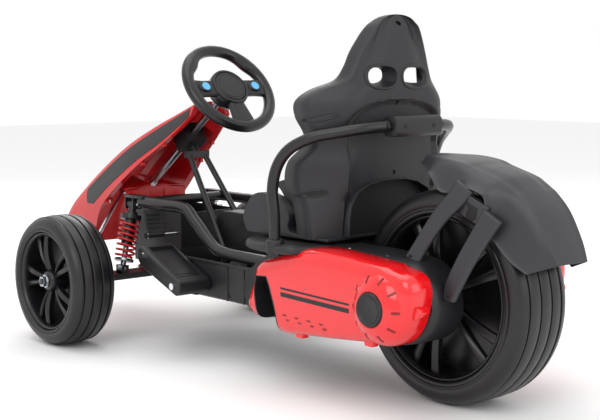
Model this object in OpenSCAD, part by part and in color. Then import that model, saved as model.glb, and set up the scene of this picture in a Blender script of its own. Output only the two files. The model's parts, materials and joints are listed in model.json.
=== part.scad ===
/* [Overall] */
// Distance from the rear axle to the front axle line
wheelbase = 830; // [790:5:1010]
// Distance between the middles of the two front tyres
front_track = 539; // [500:1:660]
// Distance between the two side rails of the frame, centre to centre
rail_spacing = 200; // [196:1:240]

/* [Rear wheel] */
// Outer diameter of the rear tyre
rear_tyre_d = 360; // [330:2:370]
// Width of the rear tyre
rear_tyre_w = 125; // [100:1:126]
// Diameter of the rear rim where the tyre sits
rear_rim_d = 275; // [230:1:290]
// Diameter of the fixed rear axle
rear_axle_d = 16; // [12:1:20]

/* [Front wheels] */
// Outer diameter of each front tyre
front_tyre_d = 262; // [240:2:316]
// Width of each front tyre
front_tyre_w = 95; // [76:1:96]
// Diameter of each front rim where the tyre sits
front_rim_d = 196; // [160:1:210]
// Diameter of the stub axle that carries a front wheel
spindle_d = 12; // [8:0.5:15]
// Diameter of the kingpin that a knuckle turns on
kingpin_d = 10; // [7:0.5:12]

/* [Steering] */
// Outer diameter of the steering wheel
steering_wheel_d = 212; // [176:1:256]
// Thickness of the steering wheel's grip
grip_d = 24; // [18:1:28]
// Slope of the steering column, in degrees from level
column_slope = 37.5; // [34:0.5:40]
// Diameter of the steering column
column_d = 15; // [12:0.5:18]
// Travel of a steering wheel button
button_travel = 1.5; // [0.8:0.1:2]

/* [Frame] */
// Diameter of the side rail tube
rail_d = 22; // [18:1:26]
// Diameter of the roll hoop tube
hoop_d = 20; // [16:1:24]
// Height of the floor tray's underside
tray_bottom = 112; // [100:1:120]
// Wall of the moulded covers
cover_wall = 3; // [2:0.5:4]

/* [Suspension] */
// Outer diameter of the coil spring
spring_d = 43; // [36:1:46]
// Diameter of the spring wire
spring_wire_d = 5; // [3:0.5:6]
// Number of coils in the spring
spring_coils = 7; // [6:1:9]
// Diameter of the damper rod
damper_rod_d = 12; // [8:1:14]

/* [Seat] */
// Height of the top of the seat back
seat_top = 648; // [600:1:700]
// Width of the seat back at the shoulders
seat_w = 332; // [300:1:350]
// Thickness of the seat shell
seat_wall = 4; // [3:0.5:6]

/* [Gears] */
// Teeth on the large drive gear
drive_teeth = 48; // [40:4:48]
// Teeth on the motor pinion
pinion_teeth = 12; // [10:2:14]
// Gear module
gear_module = 1.5; // [1.2:0.1:1.5]

/* [Hidden] */
$fn = 64;
black = "#2c2b30";
red = "#e01c20";
steel = "#b9bcc2";
running_gap = 0.05;
part_gap = 0.5;

front_y = front_track / 2;
rail_y = rail_spacing / 2;
rear_r = rear_tyre_d / 2;
front_r = front_tyre_d / 2;
axle_r = rear_axle_d / 2;

// The nose cowl reaches this far ahead of the front axle line
nose_reach = 325;
// The rear tip of the fender lies this far behind the rear axle
fender_reach = 240;
// The origin lies on the ground, halfway along the kart
mid_x = (wheelbase + nose_reach - fender_reach) / 2;

// Front corner: places across the kart, counted on the left side
arm_pivot_y = 52;
arm_pivot_z = front_r - 5;
kingpin_y = front_y - 73.5;
spindle_tip_y = front_y + front_tyre_w / 2 + 5;
arm_half_x = 33;
steer_arm_x = 48;
steer_arm_in = 8;
damper_top = [wheelbase - 1, rail_y, 272];
damper_foot = [wheelbase - 18, arm_pivot_y + 88, arm_pivot_z + 16];
damper_line = damper_foot - damper_top;
damper_len = norm(damper_line);

// Steering wheel centre and column
wheel_centre = [wheelbase - 202, 0, 515];
down_column = [cos(column_slope), 0, -sin(column_slope)];
function on_column(distance) = wheel_centre + distance * down_column;
column_len = 430;
bearing_at = 172;
bearing_len = 44;

// Gear train
gear_distance = gear_module * (drive_teeth + pinion_teeth) / 2;
fork_y = 78;
fork_t = 6;
gearbox_y = fork_y + fork_t;
gearbox_w = 38;
pod_y = 146;

// Sweep of a round tube along a list of points
function unit(v) = v / norm(v);
function direction(path, i) =
    unit(path[min(i + 1, len(path) - 1)] - path[max(i - 1, 0)]);
function tube_ring(centre, t, r, sides, up) =
    let (u = unit(cross(t, up)), v = cross(t, u))
    [for (k = [0:sides - 1]) centre + r * (cos(k * 360 / sides) * u + sin(k * 360 / sides) * v)];
function curve_point(a, b, c, d, s) =
    0.5 * (2 * b + (c - a) * s + (2 * a - 5 * b + 4 * c - d) * s * s
        + (3 * b - a - 3 * c + d) * s * s * s);
function smooth_path(p, steps) = [
    for (i = [0:len(p) - 2], k = [0:steps - 1])
        curve_point(p[max(i - 1, 0)], p[i], p[i + 1], p[min(i + 2, len(p) - 1)], k / steps),
    p[len(p) - 1]
];
function mirrored(points) = [for (p = points) [p.x, -p.y, p.z]];

// A skin over rings of points; a shell's rings run out along one face and back along the other
module loft(rings, shell = false) {
    n = len(rings[0]);
    m = len(rings);
    sides = [
        for (i = [0:m - 2], j = [0:n - 1])
            let (a = i * n + j, b = i * n + (j + 1) % n)
            each [[b, a, b + n], [b + n, a, a + n]]
    ];
    strips = [for (j = [0:n / 2 - 2]) [j, j + 1, n - 2 - j, n - 1 - j]];
    start_cap = shell ? strips : [[for (j = [0:n - 1]) j]];
    last = (m - 1) * n;
    end_cap = [for (face = start_cap) [for (k = [len(face) - 1:-1:0]) last + face[k]]];
    polyhedron([for (ring = rings) each ring], concat(start_cap, sides, end_cap));
}

module sweep(path, r, sides = 16, up = [0, 0, 1]) {
    loft([for (i = [0:len(path) - 1]) tube_ring(path[i], direction(path, i), r, sides, up)]);
}

module rod(p, q, r) {
    v = q - p;
    translate(p) rotate([0, acos(v.z / norm(v)), atan2(v.y, v.x)]) cylinder(h = norm(v), r = r);
}

module along_y(y0, y1, r, at = [0, 0]) {
    translate([at.x, y1, at.y]) rotate([90, 0, 0]) cylinder(h = y1 - y0, r = r);
}

module along_x(x0, x1, r, at = [0, 0]) {
    translate([x0, at.x, at.y]) rotate([0, 90, 0]) cylinder(h = x1 - x0, r = r);
}

// A plate drawn in X and Z, and given its thickness along Y
module side_plate(y0, y1) {
    translate([0, y1, 0]) rotate([90, 0, 0]) linear_extrude(y1 - y0) children();
}

module box(low, high) {
    translate(low) cube(high - low);
}

module on_ground() {
    translate([-mid_x, 0, 0]) children();
}

module right_side() {
    mirror([0, 1, 0]) children();
}

// Bodywork and frame ---------------------------------------------------------

module rail() {
    top = [wheelbase - 32, rail_y, 280];
    color(black) union() {
        sweep(smooth_path([
            top, [wheelbase - 110, rail_y, 280], [wheelbase - 185, rail_y, 278],
            [wheelbase - 225, rail_y + 4, 256], [wheelbase - 290, rail_y + 10, 215],
            [wheelbase - 330, rail_y + 12, 205], [wheelbase - 420, rail_y + 12, 203],
            [330, rail_y + 12, 203], [220, rail_y - 4, 200], [130, rail_y - 11, 190],
            [78, rail_y - 12, 184]
        ], 4), rail_d / 2);
        fork_plate();
        damper_mount();
    }
}

module fork_plate() {
    side_plate(fork_y, gearbox_y) difference() {
        union() {
            translate([0, rear_r]) circle(r = 40);
            translate([0, rear_r - 16]) square([120, 32]);
        }
        translate([0, rear_r]) circle(r = 30);
    }
}

module damper_mount() {
    ear_gap = 12;
    ear_t = 4;
    for (side = [-1, 1])
        translate([damper_top.x + side * (ear_gap + ear_t / 2), rail_y, 0]) difference() {
            box([-ear_t / 2, -13, 262], [ear_t / 2, 13, 292]);
            along_x(-ear_t, ear_t, 4 + running_gap, [0, damper_top.z]);
        }
    box([damper_top.x - ear_gap - ear_t - 36, rail_y - 10, 286],
        [damper_top.x + ear_gap + ear_t, rail_y + 13, 292]);
}

module backbone() {
    beam_rear = wheelbase - 150;
    beam_low = tray_bottom + cover_wall;
    color(black) union() {
        box([beam_rear, -38, beam_low], [wheelbase + 40, 38, arm_pivot_z + 12]);
        for (side = [-1, 1]) {
            for (x = [wheelbase - arm_half_x - 7, wheelbase + arm_half_x + 1])
                translate([x, 0, 0]) arm_lug(side);
            tower_leg(side);
        }
        rod([wheelbase - 48, -rail_y + rail_d / 2 + 0.1, 280],
            [wheelbase - 48, rail_y - rail_d / 2 - 0.1, 280], 10);
        for (x = [350, strut_foot.x - 15])
            box([x, -tray_half_w + cover_wall + 1, beam_low],
                [x + 30, tray_half_w - cover_wall - 1, bar_top]);
        box([360, -20, beam_low], [beam_rear + 1, 20, bar_top]);
        for (side = [-1, 1])
            translate([strut_foot.x, side * strut_foot.y, bar_top - 1])
                cylinder(h = strut_base - bar_top + 1, r = 9);
    }
}

module tower_leg(side) {
    foot = arm_pivot_z + 8;
    rod([wheelbase - 48, side * 56, foot], [wheelbase - 48, side * 56, 276], 9);
    box([wheelbase - 57, min(side * 30, side * 60), foot],
        [wheelbase - 39, max(side * 30, side * 60), foot + 4]);
}

module arm_lug(side) {
    difference() {
        union() {
            box([0, min(side * 30, side * arm_pivot_y), arm_pivot_z - 10],
                [6, max(side * 30, side * arm_pivot_y), arm_pivot_z + 10]);
            along_x(0, 6, 10, [side * arm_pivot_y, arm_pivot_z]);
        }
        along_x(-1, 7, 5 + running_gap, [side * arm_pivot_y, arm_pivot_z]);
    }
}

tray_top = 190;
tray_front = wheelbase - 140;
tray_rear = 334;
tray_half_w = 128;
bar_top = tray_bottom + cover_wall + 6;
strut_foot = [wheelbase - 238, 39];

module floor_tray() {
    color(black) difference() {
        box([tray_rear, -tray_half_w, tray_bottom], [tray_front, tray_half_w, tray_top]);
        box([tray_rear + cover_wall, -tray_half_w + cover_wall, tray_bottom + cover_wall],
            [tray_front - cover_wall, tray_half_w - cover_wall, tray_top + 1]);
        box([tray_front - 5, -38 - part_gap, tray_bottom + cover_wall],
            [tray_front + 1, 38 + part_gap, arm_pivot_z + 12 + part_gap]);
    }
}

module console() {
    half_w = 24;
    front = wheelbase - 190;
    base = 192;
    color(black) difference() {
        side_plate(-half_w, half_w) console_outline(front, base);
        side_plate(-half_w + cover_wall, half_w - cover_wall)
            offset(delta = -cover_wall) console_outline(front, base);
        box([430 + cover_wall, -half_w + cover_wall, base - 1],
            [front - cover_wall, half_w - cover_wall, base + cover_wall + 1]);
    }
}

module console_outline(front, base) {
    crest = wheelbase - 285;
    shelf = 240;
    difference() {
        polygon([[430, base], [front, base], [front, 250], [front - 18, 270], [crest, 270],
            [crest, shelf + 30], [crest - 60, shelf], [430, shelf]]);
        translate([crest - 32, shelf + 32]) circle(r = 32);
        translate([crest - 100, shelf]) square([68, 40]);
    }
}

battery_rear = 346;

module battery() {
    color("#3a3a40") union() {
        box([battery_rear, -70, bar_top], [battery_rear + 76, 70, bar_top + 64]);
        for (y = [-50, 50])
            translate([battery_rear + 38, y, bar_top + 64]) cylinder(h = 5, r = 4);
    }
}

module battery_strap() {
    color("#55555c") difference() {
        box([battery_rear + 20, -72, bar_top], [battery_rear + 56, 72, bar_top + 66]);
        box([battery_rear + 19, -70.2, bar_top - 1], [battery_rear + 57, 70.2, bar_top + 64.2]);
        for (y = [-50, 50])
            translate([battery_rear + 38, y, bar_top]) cylinder(h = 80, r = 6);
    }
}

module controller() {
    color("#5a5d63") union() {
        box([452, -45, bar_top], [530, 45, bar_top + 34]);
        for (y = [-30:15:30]) box([458, y - 1.5, bar_top + 34], [524, y + 1.5, bar_top + 40]);
    }
}

module front_cover() {
    x0 = wheelbase - 138;
    x1 = wheelbase + 30;
    half_w = 76;
    color(black) difference() {
        box([x0, -half_w, arm_pivot_z + 24], [x1, half_w, 262]);
        box([x0 + cover_wall, -half_w + cover_wall, 0],
            [x1 - cover_wall, half_w - cover_wall, 300]);
        along_y(-half_w - 1, half_w + 1, 3 + part_gap, pedal_hinge);
    }
}

foot_outer = 205;

module footrest() {
    front = wheelbase - 170;
    rear = wheelbase - 308;
    color(black) difference() {
        side_plate(tray_half_w, foot_outer)
            polygon([[rear, 130], [rear + 18, 126], [front - 4, 178], [front, 188],
                [front, 204], [front - 12, 213], [rear + 4, 158], [rear, 152]]);
        translate([rear + 12, tray_half_w + 12, 161.5]) rotate([0, -25.3, 0])
            box([0, 0, 0], [112, foot_outer - tray_half_w - 22, 20]);
    }
}

// Nose ------------------------------------------------------------------------

// Each row of the cowl: front point, rear point, half width in front, half width behind
nose_rows = [
    [[-140, 486], [-140, 460], 38, 50], [[-80, 463], [-110, 434], 42, 58],
    [[0, 432], [-55, 393], 48, 70], [[90, 390], [0, 356], 56, 83],
    [[170, 340], [45, 320], 64, 95], [[240, 288], [85, 287], 72, 102],
    [[295, 240], [125, 250], 78, 102], [[321, 196], [145, 205], 80, 101],
    [[nose_reach, 150], [155, 160], 78, 98]
];

function nose_point(row, u, y) =
    [wheelbase + row[0].x + (row[1].x - row[0].x) * u, y, row[0].y + (row[1].y - row[0].y) * u];
function nose_half(row, wall) =
    let (len = norm(row[1] - row[0]), s = wall / len)
    [
        [1, row[3] - wall], [0.55, (row[2] + row[3]) / 2 + 1 - wall], [0.16, row[2] + 2 - wall],
        [0.05 + s, row[2] - 6 - wall * 0.4], [s, row[2] * 0.6], [s, 0]
    ];
function nose_ring(row, wall) =
    let (outer = nose_half(row, 0), inner = nose_half(row, wall))
    concat(
        [for (p = outer) nose_point(row, p[0], p[1])],
        [for (i = [4:-1:0]) nose_point(row, outer[i][0], -outer[i][1])],
        [for (p = inner) if (p[1] > 0) nose_point(row, p[0], -p[1])],
        [for (i = [5:-1:0]) nose_point(row, inner[i][0], inner[i][1])]
    );

module nose_cowl() {
    color(red) loft([for (row = nose_rows) nose_ring(row, cover_wall)], true);
}

module nose_bulkhead() {
    wall_x = wheelbase + 58;
    ledge_z = 304;
    ledge_len = 104;
    color("#b01418") difference() {
        union() {
            box([wall_x, -80, 244], [wall_x + cover_wall, 80, ledge_z + cover_wall]);
            translate([0, 0, ledge_z]) linear_extrude(cover_wall)
                polygon([[wall_x, -80], [wall_x + ledge_len, -58], [wall_x + ledge_len, 58],
                    [wall_x, 80]]);
        }
        rod(on_column(180), on_column(column_len + 40), column_d / 2 + 5);
    }
}

module nose_inlay() {
    loft([for (i = [0:5]) inlay_ring(nose_rows[i + 1], i)]);
}

module nose_inlays() {
    color("#26262a") nose_inlay();
    color("#26262a") right_side() nose_inlay();
}

// Half width of the cowl's side at a share u of the way from its front edge to its rear edge
function side_width(row, u) =
    let (front = row[2] + 2, mid = (row[2] + row[3]) / 2 + 1)
    u < 0.55 ? front + (mid - front) * (u - 0.16) / 0.39 : mid + (row[3] - mid) * (u - 0.55) / 0.45;

function inlay_ring(row, i) =
    let (
        lift = 1.6, thick = 1.2,
        shares = i == 0 ? [0.2, 0.37, 0.53] : i == 5 ? [0.5, 0.6, 0.8] : [0.2, 0.55, 0.8],
        under = [for (u = shares) nose_point(row, u, side_width(row, u) + lift)],
        over = [for (u = shares) nose_point(row, u, side_width(row, u) + lift + thick)]
    )
    [under[0], under[1], under[2], over[2], over[1], over[0]];

// Steering --------------------------------------------------------------------

yoke_drop = 42;
yoke_top = on_column(bearing_at) + yoke_drop * [-sin(column_slope), 0, -cos(column_slope)];
strut_base = bar_top + 62;

module column_support() {
    color(black) union() {
        for (side = [-1, 1]) {
            rod([yoke_top.x, side * 19, yoke_top.z],
                [strut_foot.x, side * strut_foot.y, strut_base + 5], 6);
            translate([strut_foot.x, side * strut_foot.y, strut_base]) cylinder(h = 8, r = 9);
        }
        box([yoke_top.x - 8, -27, yoke_top.z - 7], [yoke_top.x + 8, 27, yoke_top.z + 7]);
        column_frame() translate([22, 0, bearing_at]) rotate([0, 90, 0])
            cylinder(h = yoke_drop - 22, r = 9);
    }
}

module column_frame() {
    translate(wheel_centre) rotate([0, 90 + column_slope, 0]) children();
}

module column_bearing() {
    color(black) column_frame() translate([0, 0, bearing_at]) difference() {
        translate([-22, -24, -bearing_len / 2]) cube([44, 48, bearing_len]);
        cylinder(h = 2 * bearing_len, r = column_d / 2 + running_gap, center = true);
    }
}

pitman_len = 38;
eye_y = 20;

module steering_column() {
    color("#222226") column_frame() union() {
        translate([0, 0, 6]) cylinder(h = column_len - 6, r = column_d / 2);
        translate([0, 0, bearing_at + bearing_len / 2 + 1]) cylinder(h = 8, r = column_d / 2 + 5);
        translate([0, 0, column_len - 8]) difference() {
            union() {
                cylinder(h = 6, r = 15);
                translate([0, -9, 0]) mirror([1, 0, 0]) cube([pitman_len, 18, 6]);
                translate([-pitman_len - 10, -eye_y - 9, 0]) cube([20, 2 * eye_y + 18, 6]);
            }
            for (y = [-eye_y, eye_y])
                translate([-pitman_len, y, -1]) cylinder(h = 8, r = 3);
        }
    }
}

module steering_wheel() {
    ring_r = (steering_wheel_d - grip_d) / 2;
    color(black) column_frame() difference() {
        union() {
            rotate_extrude() translate([ring_r, 0]) circle(d = grip_d, $fn = 32);
            translate([0, 0, -2]) cylinder(h = 14, r = 40);
            for (a = [-90, 90]) rotate(a) wheel_spoke(ring_r, 24);
            wheel_spoke(ring_r, 40);
        }
        translate([0, 0, 6]) cylinder(h = 20, r = column_d / 2 + running_gap);
        translate([0, 0, -14.5]) cylinder(h = 13, r = 34.3);
        for (side = [-1, 1])
            translate([0, side * button_y, -11.5 - button_travel])
                cylinder(h = 10.5 + button_travel, r = button_r + 0.4);
    }
}

button_y = 62;
button_r = 9;
hub_cover_r = 34;

module wheel_spoke(length, width) {
    translate([0, -width / 2, -4]) cube([length, width, 10]);
}

module wheel_hub_cover() {
    color(black) column_frame() translate([0, 0, -13]) difference() {
        cylinder(h = 11, r1 = 28, r2 = hub_cover_r, $fn = 64);
        translate([0, 0, 6]) cylinder(h = 6, r = 24);
    }
}

module wheel_button() {
    color("#6ab8ee") column_frame() translate([0, button_y, -9]) cylinder(h = 6, r = button_r);
}

knuckle_y = kingpin_y + 16;
steer_pin = [wheelbase + steer_arm_x, kingpin_y - steer_arm_in, front_r + 29];

module tie_rod() {
    tip = wheel_centre + (column_len - 14.5) * down_column
        + pitman_len * [sin(column_slope), 0, cos(column_slope)];
    inner = [tip.x, eye_y, tip.z];
    color(steel) union() {
        difference() {
            union() {
                translate([inner.x, inner.y, inner.z]) rotate([0, 90 + column_slope, 0])
                    cylinder(h = 6, r = 7, center = true);
                rod(inner, steer_pin, 4);
                translate(steer_pin - [0, 0, 4]) cylinder(h = 8, r = 8);
            }
            translate(steer_pin - [0, 0, 10]) cylinder(h = 20, r = 3 + running_gap);
        }
    }
}

// Front corner ----------------------------------------------------------------

module lower_arm() {
    boss_low = arm_pivot_z - 18;
    boss_high = arm_pivot_z + 20;
    color(black) difference() {
        union() {
            along_x(wheelbase - arm_half_x, wheelbase + arm_half_x, 10, [arm_pivot_y, arm_pivot_z]);
            box([wheelbase - 31, arm_pivot_y, arm_pivot_z - 6],
                [wheelbase + 20, kingpin_y - 13, arm_pivot_z + 6]);
            box([wheelbase - 12, kingpin_y - 14, arm_pivot_z - 6],
                [wheelbase + 12, kingpin_y, arm_pivot_z + 6]);
            translate([wheelbase, kingpin_y, boss_low]) cylinder(h = boss_high - boss_low, r = 12);
            for (x = [damper_foot.x - 12, damper_foot.x + 9])
                box([x, damper_foot.y - 8, arm_pivot_z],
                    [x + 3, damper_foot.y + 8, damper_foot.z + 7]);
        }
        along_x(wheelbase - 40, wheelbase + 40, 5 + running_gap, [arm_pivot_y, arm_pivot_z]);
        translate([wheelbase, kingpin_y, boss_low - 1])
            cylinder(h = 60, r = kingpin_d / 2 + running_gap);
        along_x(damper_foot.x - 20, damper_foot.x + 20, 4 + running_gap,
            [damper_foot.y, damper_foot.z]);
        translate(damper_foot) along_x(-8.9, 8.9, 12);
    }
}

module knuckle() {
    low = arm_pivot_z - 27;
    high = arm_pivot_z + 29;
    ear = 8;
    color("#36363b") difference() {
        union() {
            for (z = [low, high - ear]) {
                translate([wheelbase, kingpin_y, z]) cylinder(h = ear, r = 13);
                box([wheelbase - 13, kingpin_y, z], [wheelbase + 13, knuckle_y + 2, z + ear]);
            }
            box([wheelbase - 16, knuckle_y - 3, low], [wheelbase + 16, knuckle_y + 5, high]);
            along_y(knuckle_y, knuckle_y + 8, 14, [wheelbase, front_r]);
            along_y(knuckle_y, spindle_tip_y, spindle_d / 2, [wheelbase, front_r]);
            steer_arm(high - ear, ear);
        }
        translate([wheelbase, kingpin_y, low - 1])
            cylinder(h = 80, r = kingpin_d / 2 + running_gap);
    }
}

module steer_arm(z, t) {
    difference() {
        union() {
            translate([steer_pin.x, steer_pin.y, z]) cylinder(h = t, r = 9);
            translate([wheelbase + 8, kingpin_y - 10, z]) cube([steer_arm_x - 8, 14, t]);
            translate([steer_pin.x, steer_pin.y, z]) cylinder(h = steer_pin.z + 8 - z, r = 3);
        }
    }
}

// The kingpin with its head and nut, and the nut and washer that hold the wheel on
module knuckle_bolts() {
    hub_end = front_y + front_tyre_w / 2 - 8;
    color(steel) {
        translate([wheelbase, kingpin_y, arm_pivot_z - 33]) cylinder(h = 68, r = kingpin_d / 2);
        translate([wheelbase, kingpin_y, arm_pivot_z + 29]) cylinder(h = 6, r = 9, $fn = 6);
        translate([wheelbase, kingpin_y, arm_pivot_z - 34]) cylinder(h = 7, r = 9, $fn = 6);
        difference() {
            union() {
                along_y(hub_end + 1, hub_end + 3, 13, [wheelbase, front_r]);
                translate([wheelbase, hub_end + 11, front_r]) rotate([90, 0, 0])
                    cylinder(h = 8, r = 11, $fn = 6);
            }
            along_y(hub_end, hub_end + 20, spindle_d / 2, [wheelbase, front_r]);
        }
    }
}

// A rim's spokes: five pairs of tapered blades around the hub
module spokes(hub_r, rim_r, y0, y1, axle_z, axle_x) {
    translate([axle_x, 0, axle_z]) for (k = [0:4], side = [-1, 1])
        rotate([0, k * 72, 0]) side_plate(y0, y1)
            polygon([[hub_r - 3, side * 2], [hub_r - 3, side * 13], [rim_r, side * 26],
                [rim_r, side * 10]]);
}

module rim_barrel(r, width, wall, centre) {
    translate(centre) rotate([90, 0, 0]) rotate_extrude($fn = 96) polygon([
        [r - wall, -width / 2], [r, -width / 2], [r, width / 2], [r - wall, width / 2],
        [r - wall - 6, 0]
    ]);
}

module front_rim() {
    rim_r = front_rim_d / 2;
    outer = front_y + front_tyre_w / 2 - 6;
    color("#232327") difference() {
        union() {
            rim_barrel(rim_r, front_tyre_w - 12, 5, [wheelbase, front_y, front_r]);
            spokes(22, rim_r - 4, outer - 22, outer - 6, front_r, wheelbase);
            along_y(outer - 60, outer - 2, 22, [wheelbase, front_r]);
        }
        along_y(0, 500, spindle_d / 2 + running_gap, [wheelbase, front_r]);
    }
}

// Tyre: rounded shoulders and four grooves round the tread
module tyre(r, width, seat_r, centre) {
    half = width / 2;
    shoulder = 16;
    groove = 3;
    grooves = [for (k = [-1.5:1:1.5]) k * width * 0.19];
    translate(centre) rotate([90, 0, 0]) rotate_extrude($fn = 120) difference() {
        union() {
            translate([seat_r, -half]) square([r - seat_r - shoulder, width]);
            translate([seat_r, -half + shoulder]) square([r - seat_r, width - 2 * shoulder]);
            for (side = [-1, 1])
                translate([r - shoulder, side * (half - shoulder)]) circle(r = shoulder, $fn = 48);
        }
        for (g = grooves) translate([r - groove, g - 1.5]) square([groove + 1, 3]);
    }
}

module front_tyre() {
    color("#1b1b1d")
        tyre(front_r, front_tyre_w, front_rim_d / 2, [wheelbase, front_y, front_r]);
}

// A frame with its Z axis along the damper, from the top eye to the foot
module damper_frame() {
    translate(damper_top)
        rotate([0, acos(damper_line.z / damper_len), atan2(damper_line.y, damper_line.x)])
            children();
}

body_r = damper_rod_d / 2 + 6;
spring_start = 34;
spring_end = damper_len - 20;

module damper_body() {
    color("#28282c") difference() {
        union() {
            along_x(damper_top.x - 11, damper_top.x + 11, 9, [damper_top.y, damper_top.z]);
            damper_frame() {
                translate([0, 0, 5]) cylinder(h = 14, r = 8);
                translate([0, 0, 17]) cylinder(h = 73, r = body_r);
                translate([0, 0, spring_start - 10]) cylinder(h = 10, r = spring_d / 2);
            }
        }
        along_x(damper_top.x - 20, damper_top.x + 20, 4 + running_gap,
            [damper_top.y, damper_top.z]);
        damper_frame() translate([0, 0, 40]) cylinder(h = 60, r = damper_rod_d / 2 + 1);
    }
}

module damper_rod() {
    color("#8f9298") difference() {
        union() {
            along_x(damper_foot.x - 8, damper_foot.x + 8, 8, [damper_foot.y, damper_foot.z]);
            damper_frame() {
                translate([0, 0, 52]) cylinder(h = damper_len - 56, r = damper_rod_d / 2);
                translate([0, 0, spring_end + 0.2]) cylinder(h = 5, r = spring_d / 2 - 1);
            }
        }
        along_x(damper_foot.x - 20, damper_foot.x + 20, 4 + running_gap,
            [damper_foot.y, damper_foot.z]);
    }
}

module coil_spring() {
    steps = 14;
    wire_r = spring_wire_d / 2;
    coil_r = spring_d / 2 - wire_r;
    rise = spring_end - spring_start - 2 * wire_r - 0.4;
    count = spring_coils * steps;
    path = [for (i = [0:count])
        [coil_r * cos(i * 360 / steps), coil_r * sin(i * 360 / steps),
            spring_start + wire_r + 0.2 + rise * i / count]];
    color("#d8262c") damper_frame() sweep(path, wire_r, 8);
}

pedal_hinge = [wheelbase - 130, 222];
pedal_y = [114, 150];

module pedal() {
    color("#2a2a2e") translate([pedal_hinge.x, 0, pedal_hinge.y]) difference() {
        union() {
            along_y(pedal_y[0], pedal_y[1], 6);
            rotate([0, 20, 0]) {
                box([-3, pedal_y[0], 4.6], [3, pedal_y[1], 52]);
                for (z = [14:9:46]) box([-5, pedal_y[0] + 3, z], [-2, pedal_y[1] - 3, z + 3]);
            }
        }
        along_y(pedal_y[0] - 5, pedal_y[1] + 5, 3 + running_gap);
    }
}

// Seat and hoop ---------------------------------------------------------------

// Each row of the seat back: share of the height, share of the half width, edge place, back place
seat_low = 284;
seat_rows = [
    [0, 0.94, 205, 166], [0.11, 0.95, 212, 158], [0.17, 0.98, 222, 155], [0.24, 1, 222, 152],
    [0.31, 1, 212, 150], [0.38, 0.91, 198, 149], [0.44, 0.91, 194, 148], [0.52, 0.97, 202, 148],
    [0.59, 0.97, 203, 147], [0.645, 0.85, 194, 147], [0.69, 0.66, 176, 147],
    [0.75, 0.575, 170, 148], [0.82, 0.51, 167, 149], [0.885, 0.43, 162, 150],
    [0.94, 0.34, 158, 152], [1, 0.18, 157, 155]
];

function seat_ring(row, wall) =
    let (
        z = seat_low + row[0] * (seat_top - seat_low), w = row[1] * seat_w / 2,
        edge = row[2], back = row[3], wrap = 46 * min(1, row[1])
    )
    concat(
        [[edge + wrap, w - 6, z], [edge + 6, w, z], [edge - 6, w - 8, z], [back + 5, w * 0.55, z],
            [back, 0, z], [back + 5, -w * 0.55, z], [edge - 6, -w + 8, z], [edge + 6, -w, z],
            [edge + wrap, -w + 6, z]],
        [[edge + wrap, -w + 6 + wall, z], [edge + 6 + wall * 0.4, -w + wall, z],
            [edge - 6 + wall, -w + 8 + wall, z], [back + 5 + wall, -w * 0.55, z],
            [back + wall, 0, z], [back + 5 + wall, w * 0.55, z], [edge - 6 + wall, w - 8 - wall, z],
            [edge + 6 + wall * 0.4, w - wall, z], [edge + wrap, w - 6 - wall, z]]
    );

module seat_back() {
    eye_z = seat_low + 0.717 * (seat_top - seat_low);
    color(black) difference() {
        loft([for (row = seat_rows) seat_ring(row, seat_wall)], true);
        for (side = [-1, 1])
            translate([120, side * 42, eye_z]) rotate([0, 90, 0]) linear_extrude(90)
                polygon([[-9, -21], [9, -18], [9, 18], [-9, 21]]);
        for (z = [seat_top - 15, seat_low + 212, seat_low + 91])
            along_x(120, 200, 4, [0, z]);
    }
}

deck_top = 258;

module seat_base() {
    color(black) union() {
        box([172, -150, 262], [378, 150, 268]);
        box([172, -120, deck_top], [330, 120, 262]);
        for (side = [-1, 1])
            side_plate(min(side * 128, side * 156), max(side * 128, side * 156))
                polygon([[205, 262], [376, 262], [390, 284], [374, 318], [338, 334], [296, 324],
                    [262, 306], [262, 283], [205, 283]]);
        side_plate(-128, 128) polygon([[354, 262], [392, 262], [386, 290], [360, 290]]);
    }
}

module lap_belts() {
    color("#1a1a1c") for (side = [-1, 1])
        side_plate(min(side * 124, side * 127), max(side * 124, side * 127))
            polygon([[262, 272], [300, 272], [338, 352], [312, 358]]);
}

hoop_x = 118;
hoop_z = 458;
hoop_foot = [247, 200, 242];

module roll_hoop() {
    half = [
        [hoop_x, 57, hoop_z], [hoop_x, 64, hoop_z], [132, 104, 455], [158, 134, 449], [192, 164, 440],
        [226, 184, 420], [247, 194, 390], [254, 199, 350], [248, 200, 305], [247, 200, 270], hoop_foot
    ];
    right = [for (i = [len(half) - 1:-1:0]) mirrored(half)[i]];
    color(black) sweep(smooth_path(concat(right, half), 4), hoop_d / 2, up = [1, 0, 0]);
}

bracket_bolt_y = 35;
bracket_bolt_r = 3;

module hoop_bracket() {
    rear = hoop_x - hoop_d / 2 - 9;
    color(black) difference() {
        union() {
            box([rear, -56, hoop_z - 17], [hoop_x + 6, 56, hoop_z + 17]);
            box([hoop_x, -40, hoop_z - 14], [146.4, 40, hoop_z + 14]);
        }
        along_y(-80, 80, hoop_d / 2 + 0.3, [hoop_x, hoop_z]);
        for (side = [-1, 1])
            along_x(rear - 1, rear + 7, bracket_bolt_r, [side * bracket_bolt_y, hoop_z]);
    }
}

// Rear body -------------------------------------------------------------------

module cover_outline() {
    translate([0, rear_r]) circle(r = 72);
    polygon([[0, rear_r + 72], [120, 254], [200, 252], [285, 226], [332, 204], [332, 138],
        [225, 116], [120, 112], [0, rear_r - 72]]);
}

module side_cover() {
    color(black) difference() {
        side_plate(fork_y - 6, pod_y) cover_outline();
        side_plate(fork_y - 7, pod_y + 1) offset(delta = -cover_wall) cover_outline();
        box([300, 60, 100], [340, 150, 240]);
    }
}

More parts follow.
